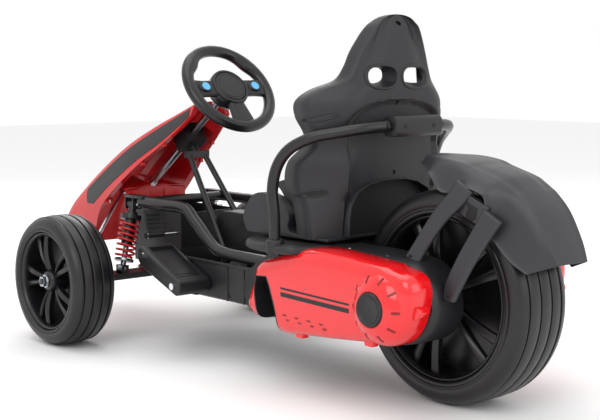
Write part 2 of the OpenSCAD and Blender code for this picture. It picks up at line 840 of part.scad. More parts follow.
module body_deck() {
    color(black) difference() {
        union() {
            translate([0, 0, deck_top - 4]) linear_extrude(4)
                polygon([[172, -150], [172, 150], [205, 214], [300, 214], [345, 190], [352, 130],
                    [352, -130], [345, -190], [300, -214], [205, -214]]);
            box([188, -70, 226], [192, 70, deck_top - 4]);
            for (side = [-1, 1])
                translate([hoop_foot.x, side * hoop_foot.y, hoop_foot.z - 5])
                    cylinder(h = deck_top + 8 - hoop_foot.z, r = hoop_d / 2 + 5);
        }
        for (side = [-1, 1])
            translate([hoop_foot.x, side * hoop_foot.y, hoop_foot.z - 1])
                cylinder(h = 90, r = hoop_d / 2 + 0.8);
    }
}

pod_outer = 200;

module pod_outline() {
    polygon([[0, rear_r + 67], [55, 252], [121, 258], [192, 250], [273, 222], [318, 205],
        [318, 137], [300, 120], [225, 114], [121, 117], [22, 122], [0, rear_r - 62]]);
}

module pod() {
    color(red) difference() {
        union() {
            side_plate(pod_y + part_gap, pod_outer - 12) pod_outline();
            side_plate(pod_outer - 12, pod_outer) offset(delta = -8) pod_outline();
            along_y(pod_y + part_gap, pod_outer - 4, 64, [0, rear_r]);
            along_y(pod_outer - 5, pod_outer + 10, 52, [0, rear_r]);
        }
        side_plate(pod_y, pod_outer - cover_wall) offset(delta = -10) pod_outline();
        along_y(pod_y, pod_outer - 8, 58, [0, rear_r]);
        box([250, pod_y + 8, 122], [340, pod_outer + 20, 196]);
    }
    color("#26262a") difference() {
        along_y(pod_outer + 10, pod_outer + 18, 27, [0, rear_r]);
        along_y(pod_outer + 15, pod_outer + 20, 22, [0, rear_r]);
    }
}

module rear_axle() {
    half = gearbox_y + gearbox_w + 12;
    color(steel) union() {
        along_y(-half, half, axle_r, [0, rear_r]);
        for (side = [-1, 1])
            along_y(min(side * (half - 12), side * (half - 3)),
                max(side * (half - 12), side * (half - 3)), axle_r + 5, [0, rear_r]);
    }
}

module gearbox() {
    outer_r = 50;
    wall = 3;
    y1 = gearbox_y + gearbox_w;
    color("#303034") difference() {
        union() {
            along_y(gearbox_y, y1, outer_r, [0, rear_r]);
            along_y(gearbox_y, y1, 22, [gear_distance, rear_r]);
        }
        along_y(gearbox_y + wall, y1 - wall, outer_r - wall, [0, rear_r]);
        along_y(gearbox_y + wall, y1 - wall, 19, [gear_distance, rear_r]);
        along_y(gearbox_y - 1, gearbox_y + wall + 1, 29, [0, rear_r]);
        along_y(gearbox_y, y1 + 1, axle_r + running_gap, [0, rear_r]);
        along_y(gearbox_y + 10, y1 + 1, 5, [gear_distance, rear_r]);
    }
}

module gearboxes() {
    gearbox();
    right_side() gearbox();
}

module motor() {
    y0 = gearbox_y + gearbox_w;
    color("#9a9ca2") difference() {
        union() {
            along_y(y0, y0 + 46, 18, [gear_distance, rear_r]);
            along_y(y0 + 46, y0 + 52, 10, [gear_distance, rear_r]);
        }
        along_y(y0 - 1, y0 + 9, pinion_shaft_r + running_gap, [gear_distance, rear_r]);
    }
}

pinion_shaft_r = 3;

module motor_pinion() {
    color("#c8a860") union() {
        along_y(gearbox_y + 7, gearbox_y + gearbox_w + 8, pinion_shaft_r, [gear_distance, rear_r]);
        side_plate(gearbox_y + 8, gearbox_y + 20) translate([gear_distance, rear_r])
            rotate(180 + 180 / pinion_teeth) gear_outline(pinion_teeth);
    }
}

module motor_pinions() {
    motor_pinion();
    right_side() motor_pinion();
}

module motors() {
    motor();
    right_side() motor();
}

module gear_outline(teeth) {
    pitch_r = gear_module * teeth / 2;
    root_r = pitch_r - 1.3 * gear_module;
    tip_r = pitch_r + 0.8 * gear_module;
    tooth = 360 / teeth;
    root_half = 0.85 * gear_module;
    tip_half = 0.33 * gear_module;
    circle(r = root_r);
    for (k = [0:teeth - 1]) rotate(k * tooth)
        polygon([[root_r - 1, -root_half], [tip_r, -tip_half], [tip_r, tip_half],
            [root_r - 1, root_half]]);
}

module drive_gear() {
    color("#d9d4c4") difference() {
        union() {
            along_y(hub_face, gearbox_y + 24, 22, [0, rear_r]);
            side_plate(gearbox_y + 8, gearbox_y + 20) translate([0, rear_r])
                gear_outline(drive_teeth);
        }
        along_y(0, 200, axle_r + running_gap, [0, rear_r]);
    }
}

module drive_gears() {
    drive_gear();
    right_side() drive_gear();
}

hub_face = rear_tyre_w / 2 - 4;

module rear_rim() {
    rim_r = rear_rim_d / 2;
    color("#232327") difference() {
        union() {
            rim_barrel(rim_r, rear_tyre_w - 16, 6, [0, 0, rear_r]);
            spokes(30, rim_r - 5, hub_face - 22, hub_face - 6, rear_r, 0);
            spokes(30, rim_r - 5, -hub_face + 6, -hub_face + 22, rear_r, 0);
            along_y(-hub_face, hub_face, 30, [0, rear_r]);
        }
        along_y(-200, 200, axle_r + running_gap, [0, rear_r]);
    }
}

module rear_tyre() {
    color("#1b1b1d") tyre(rear_r, rear_tyre_w, rear_rim_d / 2, [0, 0, rear_r]);
}

// Fender rows: place along and above the axle, and lean of the section in degrees from upright
fender_rows = [
    [48, 234, -3], [10, 233, 3], [-30, 229, 8], [-70, 221, 13], [-105, 212, 18],
    [-140, 198, 28], [-170, 180, 40], [-200, 150, 52], [-224, 112, 62], [-fender_reach, 72, 70]
];

function fender_ring(row, wall) =
    let (
        c = [row[0], 0, rear_r + row[1]], up = [-sin(row[2]), 0, cos(row[2])],
        half = [[0, 0], [22, -1], [46, -4], [66, -12], [76, -28]],
        outer = [for (p = half) [p.x, p.y]],
        inner = [for (p = half) [p.x * (1 - wall / 80), p.y - wall]]
    )
    concat(
        [for (i = [4:-1:0]) c + [0, outer[i].x, 0] + outer[i].y * up],
        [for (i = [1:4]) c + [0, -outer[i].x, 0] + outer[i].y * up],
        [for (i = [4:-1:0]) c + [0, -inner[i].x, 0] + inner[i].y * up],
        [for (i = [1:4]) c + [0, inner[i].x, 0] + inner[i].y * up]
    );

module rear_fender() {
    color("#333238") {
        loft([for (i = [len(fender_rows) - 1:-1:0]) fender_ring(fender_rows[i], cover_wall)],
            true);
        for (side = [-1, 1]) fender_stays(side);
    }
}

module fender_stays(side) {
    for (foot = [[30, 255, -4, 388], [-38, 250, -92, 374]])
        side_plate(min(side * 73, side * 80), max(side * 73, side * 80))
            polygon([[foot[0] - 18, foot[1]], [foot[0] + 14, foot[1]], [foot[2] + 16, foot[3]],
                [foot[2] - 16, foot[3]]]);
}

// Fasteners -------------------------------------------------------------------

module bolts() {
    color("#d5d7db") for (side = [-1, 1]) {
        side_bolt(wheelbase - 190, side, foot_outer, 195);
        side_bolt(wheelbase - 290, side, foot_outer, 146);
        pedal_pin(side);
        along_x(damper_top.x - 22, damper_top.x + 22, 4, [side * rail_y, damper_top.z]);
        along_x(damper_top.x - 25, damper_top.x - 18.2, 6.5, [side * rail_y, damper_top.z]);
        along_x(wheelbase - 50, wheelbase + 48, 5, [side * arm_pivot_y, arm_pivot_z]);
        along_x(wheelbase + 42, wheelbase + 48, 8, [side * arm_pivot_y, arm_pivot_z]);
    }
}

module pedal_pin(side) {
    ends = side > 0 ? [69, 156] : [-156, -69];
    head = side > 0 ? [152, 156] : [-156, -152];
    along_y(ends[0], ends[1], 3, pedal_hinge);
    along_y(head[0], head[1], 6, pedal_hinge);
}

module side_bolt(x, side, y, z) {
    low = min(side * y, side * (y + 5));
    along_y(low, low + 5, 6.5, [x, z]);
}

on_ground() rail();  // rail_left
on_ground() right_side() rail();  // rail_right
on_ground() backbone();
on_ground() floor_tray();
on_ground() console();
on_ground() battery();
on_ground() battery_strap();
on_ground() controller();
on_ground() front_cover();
on_ground() footrest();  // footrest_left
on_ground() right_side() footrest();  // footrest_right
on_ground() nose_cowl();
on_ground() nose_bulkhead();
on_ground() nose_inlays();
on_ground() column_support();
on_ground() column_bearing();
on_ground() steering_column();
on_ground() steering_wheel();
on_ground() wheel_hub_cover();
on_ground() wheel_button();  // horn_button
on_ground() right_side() wheel_button();  // sound_button
on_ground() tie_rod();  // tie_rod_left
on_ground() right_side() tie_rod();  // tie_rod_right
on_ground() lower_arm();  // lower_arm_left
on_ground() right_side() lower_arm();  // lower_arm_right
on_ground() knuckle();  // knuckle_left
on_ground() right_side() knuckle();  // knuckle_right
on_ground() knuckle_bolts();  // knuckle_bolts_left
on_ground() right_side() knuckle_bolts();  // knuckle_bolts_right
on_ground() front_rim();  // front_rim_left
on_ground() right_side() front_rim();  // front_rim_right
on_ground() front_tyre();  // front_tyre_left
on_ground() right_side() front_tyre();  // front_tyre_right
on_ground() damper_body();  // damper_body_left
on_ground() right_side() damper_body();  // damper_body_right
on_ground() damper_rod();  // damper_rod_left
on_ground() right_side() damper_rod();  // damper_rod_right
on_ground() coil_spring();  // coil_spring_left
on_ground() right_side() coil_spring();  // coil_spring_right
on_ground() pedal();  // brake_pedal
on_ground() right_side() pedal();  // accelerator_pedal
on_ground() seat_back();
on_ground() seat_base();
on_ground() lap_belts();
on_ground() roll_hoop();
on_ground() hoop_bracket();
on_ground() body_deck();
on_ground() side_cover();  // side_cover_left
on_ground() right_side() side_cover();  // side_cover_right
on_ground() pod();  // pod_left
on_ground() right_side() pod();  // pod_right
on_ground() rear_axle();
on_ground() gearboxes();
on_ground() motors();
on_ground() motor_pinions();
on_ground() rear_rim();
on_ground() rear_tyre();
on_ground() drive_gears();
on_ground() rear_fender();
on_ground() bolts();
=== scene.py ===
"""Ride-on drift kart. Builds the visible pieces over the CAD frame, in the row frame, in metres.

Shapes are drawn in millimetres from the rear axle: x forward, y to the driver's left, z up from
the ground. MIDDLE moves them to the row frame, whose origin is halfway along the kart.
"""

import json
import math

import bmesh
import bpy
import numpy as np
from mathutils import Matrix, Vector


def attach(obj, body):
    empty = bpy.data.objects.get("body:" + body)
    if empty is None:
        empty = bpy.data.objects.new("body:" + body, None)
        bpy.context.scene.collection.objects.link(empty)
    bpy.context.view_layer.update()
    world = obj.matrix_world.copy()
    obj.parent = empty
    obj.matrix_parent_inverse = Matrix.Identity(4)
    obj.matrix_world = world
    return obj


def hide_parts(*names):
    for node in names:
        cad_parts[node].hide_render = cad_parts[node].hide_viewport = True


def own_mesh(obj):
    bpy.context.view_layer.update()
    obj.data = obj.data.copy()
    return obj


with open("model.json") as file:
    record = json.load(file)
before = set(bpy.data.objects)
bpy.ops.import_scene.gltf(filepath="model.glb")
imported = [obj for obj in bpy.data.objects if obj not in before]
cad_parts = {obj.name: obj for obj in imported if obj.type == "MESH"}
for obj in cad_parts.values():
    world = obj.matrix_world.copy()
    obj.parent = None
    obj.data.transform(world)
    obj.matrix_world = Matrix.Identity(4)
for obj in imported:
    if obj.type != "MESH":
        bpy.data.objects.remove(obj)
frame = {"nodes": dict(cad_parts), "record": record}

bl_info = {
    "name": "Drift kart pieces",
    "version": (1, 0, 0),
    "blender": (4, 5, 0),
    "location": "View3D > Sidebar > Kart",
    "description": "Builds the moulded, bent and turned pieces of a ride-on drift kart",
    "category": "Object",
}

MIDDLE = 457.5
AXLE_Z = 180.0


# Shape building ---------------------------------------------------------------


def curve(points, steps):
    """Points along a smooth curve through the given ones."""
    p = np.asarray(points, float)
    out = []
    for i in range(len(p) - 1):
        a, b, c, d = p[max(i - 1, 0)], p[i], p[i + 1], p[min(i + 2, len(p) - 1)]
        for k in range(steps):
            s = k / steps
            bend = (2 * a - 5 * b + 4 * c - d) * s * s + (3 * b - a - 3 * c + d) * s**3
            out.append(0.5 * (2 * b + (c - a) * s + bend))
    out.append(p[-1])
    return np.array(out)


def smooth_step(x):
    """0 below 0, 1 above 1, and an even S between."""
    x = min(max(x, 0.0), 1.0)
    return x * x * (3 - 2 * x)


def mix(a, b, t):
    return a + (b - a) * t


class Shape:
    """Points in millimetres and faces of one or more closed shells."""

    def __init__(self):
        self.points = []
        self.faces = []

    def add(self, points, faces):
        first = len(self.points)
        self.points += [tuple(float(c) for c in p) for p in points]
        self.faces += [tuple(first + i for i in f) for f in faces]
        return self

    def loft(self, rings, closed=False, strips=False):
        """A skin over rings of equal length. strips caps a thin shell without one long face."""
        n, m = len(rings[0]), len(rings)
        faces = []
        for i in range(m if closed else m - 1):
            for j in range(n):
                k, up = (j + 1) % n, ((i + 1) % m) * n
                faces.append((i * n + j, i * n + k, up + k, up + j))
        if not closed:
            ends = [list(range(n))]
            if strips:
                ends = [[j, j + 1, n - 2 - j, n - 1 - j] for j in range(n // 2 - 1)]
            faces += [tuple(reversed(f)) for f in ends]
            faces += [tuple((m - 1) * n + j for j in f) for f in ends]
        return self.add([p for ring in rings for p in ring], faces)

    def lathe(self, profile, centre, segments=96):
        """A closed outline of (radius, place along Y) turned about an axis along Y."""
        rings = []
        for k in range(segments):
            a = 2 * math.pi * k / segments
            rings.append(
                [
                    (centre[0] + r * math.cos(a), centre[1] + y, centre[2] + r * math.sin(a))
                    for r, y in profile
                ]
            )
        return self.loft(rings, closed=True)

    def disc(self, radius, y0, y1, centre, segments=64):
        """A plain round plate with its axis along Y."""
        rings = []
        for y in (y0, y1):
            rings.append(
                [
                    (
                        centre[0] + radius * math.cos(2 * math.pi * k / segments),
                        y,
                        centre[1] + radius * math.sin(2 * math.pi * k / segments),
                    )
                    for k in range(segments)
                ]
            )
        return self.loft(rings)

    def tube(self, path, radius, sides=28, up=(0, 0, 1), squash=1.0):
        """A round bar along a path; radius is one number or one for each point."""
        path = np.asarray(path, float)
        radii = np.broadcast_to(radius, (len(path),))
        rings = []
        for i, centre in enumerate(path):
            t = path[min(i + 1, len(path) - 1)] - path[max(i - 1, 0)]
            t = t / np.linalg.norm(t)
            u = np.cross(t, up)
            u = u / np.linalg.norm(u)
            v = np.cross(t, u)
            turns = [2 * math.pi * k / sides for k in range(sides)]
            rings.append(
                [centre + radii[i] * (math.cos(a) * u + squash * math.sin(a) * v) for a in turns]
            )
        return self.loft(rings)

    def plate(self, outline, y0, y1):
        """An outline in X and Z given a thickness along Y."""
        return self.loft([[(x, y, z) for x, z in outline] for y in (y0, y1)])

    def slab(self, outline, z0, z1):
        """An outline in X and Y given a thickness along Z."""
        return self.loft([[(x, y, z) for x, y in outline] for z in (z0, z1)])

    def block(self, low, high):
        (a, b, c), (d, e, f) = low, high
        return self.slab([(a, b), (d, b), (d, e), (a, e)], c, f)

    def mirrored(self):
        """The same shape on the other side of the kart."""
        other = Shape()
        other.points = [(x, -y, z) for x, y, z in self.points]
        other.faces = [tuple(reversed(f)) for f in self.faces]
        return other

    def turned(self, matrix):
        """The same shape moved by a 4 x 4 matrix, in millimetres."""
        other = Shape()
        other.points = [tuple(matrix @ Vector(p)) for p in self.points]
        other.faces = list(self.faces)
        return other

    def make(self, name, paint, bevel=0.0, segments=2, smooth=35, start=MIDDLE):
        """The mesh object, with rounded edges and smooth shading. start is the X that becomes 0."""
        mesh = bpy.data.meshes.new(name)
        mesh.from_pydata(
            [((x - start) / 1000, y / 1000, z / 1000) for x, y, z in self.points], [], self.faces
        )
        bm = bmesh.new()
        bm.from_mesh(mesh)
        bmesh.ops.recalc_face_normals(bm, faces=bm.faces)
        if bm.calc_volume(signed=True) < 0:
            bmesh.ops.reverse_faces(bm, faces=bm.faces)
        bm.to_mesh(mesh)
        bm.free()
        obj = bpy.data.objects.new("piece_" + name.lower().replace(" ", "_"), mesh)
        bpy.context.collection.objects.link(obj)
        if bevel:
            modify(
                obj,
                "BEVEL",
                width=bevel / 1000,
                segments=segments,
                limit_method="ANGLE",
                angle_limit=math.radians(32),
            )
        settle(obj)
        finish_surface(obj, paint, smooth)
        return obj


def finish_surface(obj, paint, smooth=35):
    """One material, and smooth shading with sharp edges kept."""
    obj.data.materials.clear()
    obj.data.materials.append(paint)
    obj.data.shade_smooth()
    obj.data.set_sharp_from_angle(angle=math.radians(smooth))


def modify(obj, kind, **settings):
    modifier = obj.modifiers.new(kind.title(), kind)
    for key, value in settings.items():
        setattr(modifier, key, value)
    return modifier


def settle(obj):
    """Turns the modifiers' result into the object's own mesh."""
    if not obj.modifiers:
        return obj
    seen = obj.evaluated_get(bpy.context.evaluated_depsgraph_get())
    mesh = bpy.data.meshes.new_from_object(seen)
    old = obj.data
    obj.modifiers.clear()
    obj.data = mesh
    mesh.name = old.name
    bpy.data.meshes.remove(old)
    return obj


def cut(obj, shape, smooth=35, operation="DIFFERENCE", overlapping=False):
    """Takes a shape away from an object, or keeps only what lies inside it.

    overlapping says that the object's own shells run through each other.
    """
    tool = shape.make(obj.name + " cutter", obj.data.materials[0])
    modify(
        obj,
        "BOOLEAN",
        operation=operation,
        solver="EXACT",
        object=tool,
        use_self=overlapping,
    )
    paint = obj.data.materials[0]
    settle(obj)
    bpy.data.objects.remove(tool)
    if not obj.data.polygons:
        raise RuntimeError(f"cutting {obj.name} left nothing of it")
    finish_surface(obj, paint, smooth)
    return obj


def place(obj, body, slot, *nodes):
    """The piece moves with a body and stands for its CAD nodes; slot is not used."""
    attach(obj, body)
    if nodes:
        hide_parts(*nodes)
    return obj


# Materials --------------------------------------------------------------------


def linear(code):
    """A screen colour such as "#c8141a" as linear light."""
    parts = [int(code[i : i + 2], 16) / 255 for i in (1, 3, 5)]
    return [c / 12.92 if c < 0.04045 else ((c + 0.055) / 1.055) ** 2.4 for c in parts] + [1.0]


def add_node(tree, kind, links=None, **settings):
    """A node with its settings; inputs in links are a value or another node's output."""
    node = tree.nodes.new(kind)
    for key, value in settings.items():
        setattr(node, key, value)
    for key, value in (links or {}).items():
        if isinstance(value, bpy.types.NodeSocket):
            tree.links.new(value, node.inputs[key])
        else:
            node.inputs[key].default_value = value
    return node


def surface(
    name, code, rough, metal=0.0, grain=900.0, relief=0.1, blotch=0.08, coat=0.0, brush=None
):
    """A finish with a fine relief, a slow change of tone and an uneven roughness."""
    made = bpy.data.materials.new(name)
    made.use_nodes = True
    tree = made.node_tree
    shader = tree.nodes["Principled BSDF"]
    where = add_node(tree, "ShaderNodeTexCoord").outputs["Object"]
    if brush:
        stretch = add_node(tree, "ShaderNodeMapping", {"Vector": where, "Scale": brush})
        where = stretch.outputs["Vector"]
    fine = add_node(
        tree, "ShaderNodeTexNoise", {"Vector": where, "Scale": grain, "Detail": 3.0}
    ).outputs["Fac"]
    slow = add_node(
        tree, "ShaderNodeTexNoise", {"Vector": where, "Scale": 14.0, "Detail": 4.0}
    ).outputs["Fac"]
    tone = add_node(
        tree,
        "ShaderNodeMapRange",
        {"Value": slow, "To Min": 1 - blotch, "To Max": 1 + blotch},
    ).outputs["Result"]
    colour = add_node(
        tree, "ShaderNodeHueSaturation", {"Value": tone, "Color": linear(code)}
    ).outputs["Color"]
    uneven = add_node(
        tree,
        "ShaderNodeMapRange",
        {"Value": slow, "To Min": max(rough - 0.06, 0.02), "To Max": rough + 0.06},
    ).outputs["Result"]
    bump = add_node(
        tree, "ShaderNodeBump", {"Height": fine, "Strength": relief, "Distance": 0.0006}
    ).outputs["Normal"]
    tree.links.new(colour, shader.inputs["Base Color"])
    tree.links.new(uneven, shader.inputs["Roughness"])
    tree.links.new(bump, shader.inputs["Normal"])
    shader.inputs["Metallic"].default_value = metal
    shader.inputs["Coat Weight"].default_value = coat
    shader.inputs["Coat Roughness"].default_value = 0.06
    return made


def woven(name, code):
    """Webbing: ribs of yarn across the strap."""
    made = surface(name, code, 0.75, grain=700.0, relief=0.3)
    tree = made.node_tree
    shader = tree.nodes["Principled BSDF"]
    where = add_node(tree, "ShaderNodeTexCoord").outputs["Object"]
    ribs = add_node(
        tree,
        "ShaderNodeTexWave",
        {"Vector": where, "Scale": 160.0, "Distortion": 0.4},
        bands_direction="DIAGONAL",
    ).outputs["Fac"]
    bump = add_node(
        tree, "ShaderNodeBump", {"Height": ribs, "Strength": 0.5, "Distance": 0.0008}
    ).outputs["Normal"]
    tree.links.new(bump, shader.inputs["Normal"])
    shader.inputs["Sheen Weight"].default_value = 0.3
    return made


def make_materials():
    """Every finish on the kart, by a short key."""
    return {
        # Fine-textured injection-moulded polypropylene of the floor, covers and console
        "cover": surface("Black polypropylene, fine grain", "#19181b", 0.44, relief=0.16),
        # Blow-moulded polyethylene seat with a coarse leather-like grain
        "seat": surface(
            "Blow-moulded polyethylene, coarse grain", "#1e1d21", 0.5, grain=620.0, relief=0.4,
        ),
        # Fender: the same grain, a little greyer and lighter
        "fender": surface(
            "Grey-black polypropylene, satin", "#2a292d", 0.42, grain=750.0, relief=0.14,
        ),
        # Wheels: smooth semi-gloss moulded rims
        "rim": surface("Black polypropylene, semi-gloss", "#131215", 0.3, relief=0.04),
        # Tyres: hard blow-moulded treads, rubbed to a low gloss
        "tyre": surface(
            "Moulded tyre, low gloss", "#131215", 0.36, grain=380.0, relief=0.1, blotch=0.18,
        ),
        # Nose: self-coloured red polypropylene
        "nose": surface("Red polypropylene, satin", "#c40d14", 0.34, relief=0.05, blotch=0.04),
        # Pods: polished red ABS
        "pod": surface(
            "Red ABS, high gloss", "#e20f16", 0.16, relief=0.012, blotch=0.03, coat=0.6,
        ),
        # Painted shade: slots and vents are thin blocks in a deeper red that stands for the shadow in
        # the moulded recesses
        "shaded_notch": surface("Red ABS, in shadow", "#7d060a", 0.4, relief=0.02),
        # Printed film on the nose and pods
        "film": surface("Black vinyl film, matt", "#161517", 0.5, grain=1500.0, relief=0.05),
        # Frame tubes: black powder coat over steel
        "coat": surface("Powder-coated steel tube", "#161518", 0.33, grain=1400.0, relief=0.18),
        # Springs: red powder coat over spring steel
        "spring": surface(
            "Red powder-coated spring steel", "#c4121a", 0.3, grain=1300.0, relief=0.1,
        ),
        # Linkage: bright zinc plate on turned steel
        "zinc": surface("Zinc-plated steel", "#b4b8bd", 0.3, 1.0, grain=500.0, relief=0.06),
        # Bolt heads: nickel chrome
        "chrome": surface("Chrome-plated steel", "#dcdee2", 0.12, 1.0, relief=0.01, blotch=0.02),
        # Buttons: self-coloured blue ABS
        "blue": surface(
            "Pale blue ABS, gloss", "#5cb2ee", 0.24, relief=0.02, blotch=0.02, coat=0.3,
        ),
        # Motor cans: rolled steel with fine turning marks
        "can": surface(
            "Rolled steel motor can", "#4a4c50", 0.38, 1.0, relief=0.1, brush=(4.0, 60.0, 4.0),
        ),
        # Gears: natural cast nylon
        "nylon": surface("Natural nylon", "#d5d0c0", 0.42, relief=0.04),
        # Battery case and strap: grey ABS
        "case": surface("Grey ABS, satin", "#3b3d43", 0.45, relief=0.1),
        # Lap straps: woven polypropylene webbing
        "web": woven("Woven polypropylene webbing", "#161518"),
        # Painted shade: a near-black finish put in openings, holes, slots and recesses where only shade
        # is seen
        "painted_shade": surface("Unlit inside face", "#0c0b0d", 0.7, relief=0.1),
    }


# Geometry Nodes ---------------------------------------------------------------


def new_group(name, inputs):
    """A geometry group with a mesh in and out, and the named inputs."""
    tree = bpy.data.node_groups.new(name, "GeometryNodeTree")
    tree.interface.new_socket("Geometry", in_out="INPUT", socket_type="NodeSocketGeometry")
    for key, kind in inputs.items():
        tree.interface.new_socket(key, in_out="INPUT", socket_type=kind)
    tree.interface.new_socket("Geometry", in_out="OUTPUT", socket_type="NodeSocketGeometry")
    return tree, add_node(tree, "NodeGroupInput").outputs


def end_group(tree, geometry, material):
    """Realize Instances, then Set Material, then the output."""
    real = add_node(tree, "GeometryNodeRealizeInstances", {"Geometry": geometry})
    painted = add_node(
        tree,
        "GeometryNodeSetMaterial",
        {"Geometry": real.outputs["Geometry"], "Material": material},
    )
    add_node(tree, "NodeGroupOutput", {"Geometry": painted.outputs["Geometry"]})
    return tree


def copies_group():
    """Copies of the incoming mesh: each one a step further on, and turned about Y by a turn."""
    tree, given = new_group(
        "Copies",
        {
            "Count": "NodeSocketInt",
            "Start": "NodeSocketVector",
            "Step": "NodeSocketVector",
            "Turn": "NodeSocketFloat",
            "Material": "NodeSocketMaterial",
        },
    )
    index = add_node(tree, "GeometryNodeInputIndex").outputs["Index"]
    spot = add_node(tree, "ShaderNodeVectorMath", operation="MULTIPLY_ADD")
    tree.links.new(given["Step"], spot.inputs[0])
    tree.links.new(index, spot.inputs[1])
    tree.links.new(given["Start"], spot.inputs[2])
    angle = add_node(tree, "ShaderNodeMath", operation="MULTIPLY")
    tree.links.new(index, angle.inputs[0])
    tree.links.new(given["Turn"], angle.inputs[1])
    turn = add_node(tree, "ShaderNodeCombineXYZ", {"Y": angle.outputs[0]})
    spots = add_node(
        tree, "GeometryNodePoints", {"Count": given["Count"], "Position": spot.outputs[0]}
    )
    many = add_node(
        tree,
        "GeometryNodeInstanceOnPoints",
        {
            "Points": spots.outputs[0],
            "Instance": given["Geometry"],
            "Rotation": turn.outputs[0],
        },
    )
    return end_group(tree, many.outputs["Instances"], given["Material"])


def coil_group():
    """A coil of round wire that climbs along Z, then turned and moved into place."""
    tree, given = new_group(
        "Coil",
        {
            "Turns": "NodeSocketFloat",
            "Radius": "NodeSocketFloat",
            "Height": "NodeSocketFloat",
            "Wire": "NodeSocketFloat",
            "Start": "NodeSocketVector",
            "Tilt": "NodeSocketVector",
            "Material": "NodeSocketMaterial",
        },
    )
    spiral = add_node(
        tree,
        "GeometryNodeCurveSpiral",
        {
            "Resolution": 40,
            "Rotations": given["Turns"],
            "Start Radius": given["Radius"],
            "End Radius": given["Radius"],
            "Height": given["Height"],
        },
    )
    ring = add_node(
        tree, "GeometryNodeCurvePrimitiveCircle", {"Resolution": 14, "Radius": given["Wire"]}
    )
    wire = add_node(
        tree,
        "GeometryNodeCurveToMesh",
        {
            "Curve": spiral.outputs["Curve"],
            "Profile Curve": ring.outputs["Curve"],
            "Fill Caps": True,
        },
    )
    moved = add_node(
        tree,
        "GeometryNodeTransform",
        {
            "Geometry": wire.outputs["Mesh"],
            "Translation": given["Start"],
            "Rotation": given["Tilt"],
        },
    )
    return end_group(tree, moved.outputs["Geometry"], given["Material"])


def run_group(obj, tree, **values):
    """Runs a group on an object and keeps the result as its mesh."""
    modifier = obj.modifiers.new(tree.name, "NODES")
    modifier.node_group = tree
    for item in tree.interface.items_tree:
        if item.item_type == "SOCKET" and item.in_out == "INPUT" and item.name in values:
            modifier[item.identifier] = values[item.name]
    settle(obj)
    finish_surface(obj, values["Material"])
    return obj


def point(x, y, z):
    """A place in millimetres from the rear axle, in the row frame."""
    return ((x - MIDDLE) / 1000, y / 1000, z / 1000)


# Wheels -----------------------------------------------------------------------


def tyre_outline(r, width, seat):
    """Half outline from the bead to the middle of the tread, then its mirror image."""
    half = width / 2
    bead = min(1.0, (r - 26 - seat) / 13.5)
    side = [
        (seat, half - 9),
        (seat + bead, half - 5),
        (seat + 4 * bead, half - 2.5),
        (seat + 8 * bead, half - 2.2),
        (seat + 9.5 * bead, half - 1.0),
        (seat + 12 * bead, half - 1.0),
        (seat + 13.5 * bead, half - 2.0),
    ]
    shoulder = curve(
        [
            (r - 24, half - 0.3),
            (r - 17, half - 0.9),
            (r - 10, half - 4.5),
            (r - 5.2, half - 10.5),
            (r - 2.6, half - 17),
        ],
        4,
    )
    out = side + [tuple(p) for p in shoulder]
    edge = half - 17
    for g in (0.31, 0.105):
        y = g * width
        top = r - 2.6 * (y / edge) ** 2
        out += [
            (top, y + 3.2),
            (top - 0.6, y + 1.7),
            (top - 3.6, y + 0.8),
            (top - 3.6, y - 0.8),
            (top - 0.6, y - 1.7),
            (top, y - 3.2),
        ]
    return out + [(q, -y) for q, y in reversed(out)]


def make_tyre(name, centre, r, width, seat, paint):
    return Shape().lathe(tyre_outline(r, width, seat), centre, 144).make(name, paint, smooth=28)


def spoke_pair(hub, rim, y_hub, y_rim, depth):
    """Two blades that leave the hub together and part towards the rim, around the origin."""
    shape = Shape()
    for side in (-1, 1):
        rings = []
        for k in range(9):
            t = k / 8
            r = mix(hub - 4, rim, t)
            s = side * mix(3.2, 0.19 * rim, t**1.15)
            w = mix(3.4, 0.075 * rim, t)
            y = mix(y_hub, y_rim, t) + 5 * math.sin(math.pi * t)
            ridge = 3.2 + 2.2 * math.sin(math.pi * min(t * 1.2, 1))
            rings.append(
                [
                    (r, y - depth, s - w * 0.7),
                    (r, y - 3, s - w),
                    (r, y + ridge - 3, s - side * w * 0.45),
                    (r, y - 3, s + w),
                    (r, y - depth, s + w * 0.7),
                ]
            )
        shape.loft(rings)
    return shape


def rim_outline(r, half, lip):
    """Section of the barrel: lips at both edges and a thinner waist."""
    return [
        (r - 0.3, -half),
        (r - 0.3, half),
        (r - 2.5, half + 0.8),
        (r - lip, half - 1.5),
        (r - lip - 1.5, half - 5),
        (r - lip - 2.5, half - 14),
        (r - lip - 5, 0),
        (r - lip - 2.5, -half + 14),
        (r - lip, -half + 1.5),
    ]


def make_rim(name, centre, r, width, hub, sides, paint, copies):
    """Barrel, hub and five pairs of blades; sides says which faces carry blades."""
    half = width / 2 - 6
    shape = Shape().lathe(rim_outline(r, half, 5), centre, 120)
    bore = 8.6 if len(sides) == 2 else 6.6
    reach = half - 2
    low = -reach if len(sides) == 2 else reach - 56
    boss = [(bore, low), (bore, reach), (hub - 6, reach), (hub - 3, reach - 2)]
    boss += [(hub, reach - 9), (hub, low)]
    shape.lathe(boss, centre, 72)
    web = -2 if len(sides) == 2 else reach - 44
    shape.lathe([(hub - 2, web), (hub - 2, web + 4), (r - 7, web + 4), (r - 7, web)], centre, 96)
    body = shape.make(name, paint, bevel=0.5, segments=1, smooth=30)
    made = [body]
    for side in sides:
        blades = spoke_pair(hub, r - 4, reach - 10, reach - 7, 15)
        if side < 0:
            blades = blades.mirrored()
        obj = blades.make(
            f"{name} blades {'out' if side > 0 else 'in'}", paint, bevel=0.8, start=0,
        )
        run_group(
            obj,
            copies,
            Count=5,
            Start=point(*centre),
            Turn=2 * math.pi / 5,
            Material=paint,
        )
        made.append(obj)
    return made


# Nose -------------------------------------------------------------------------

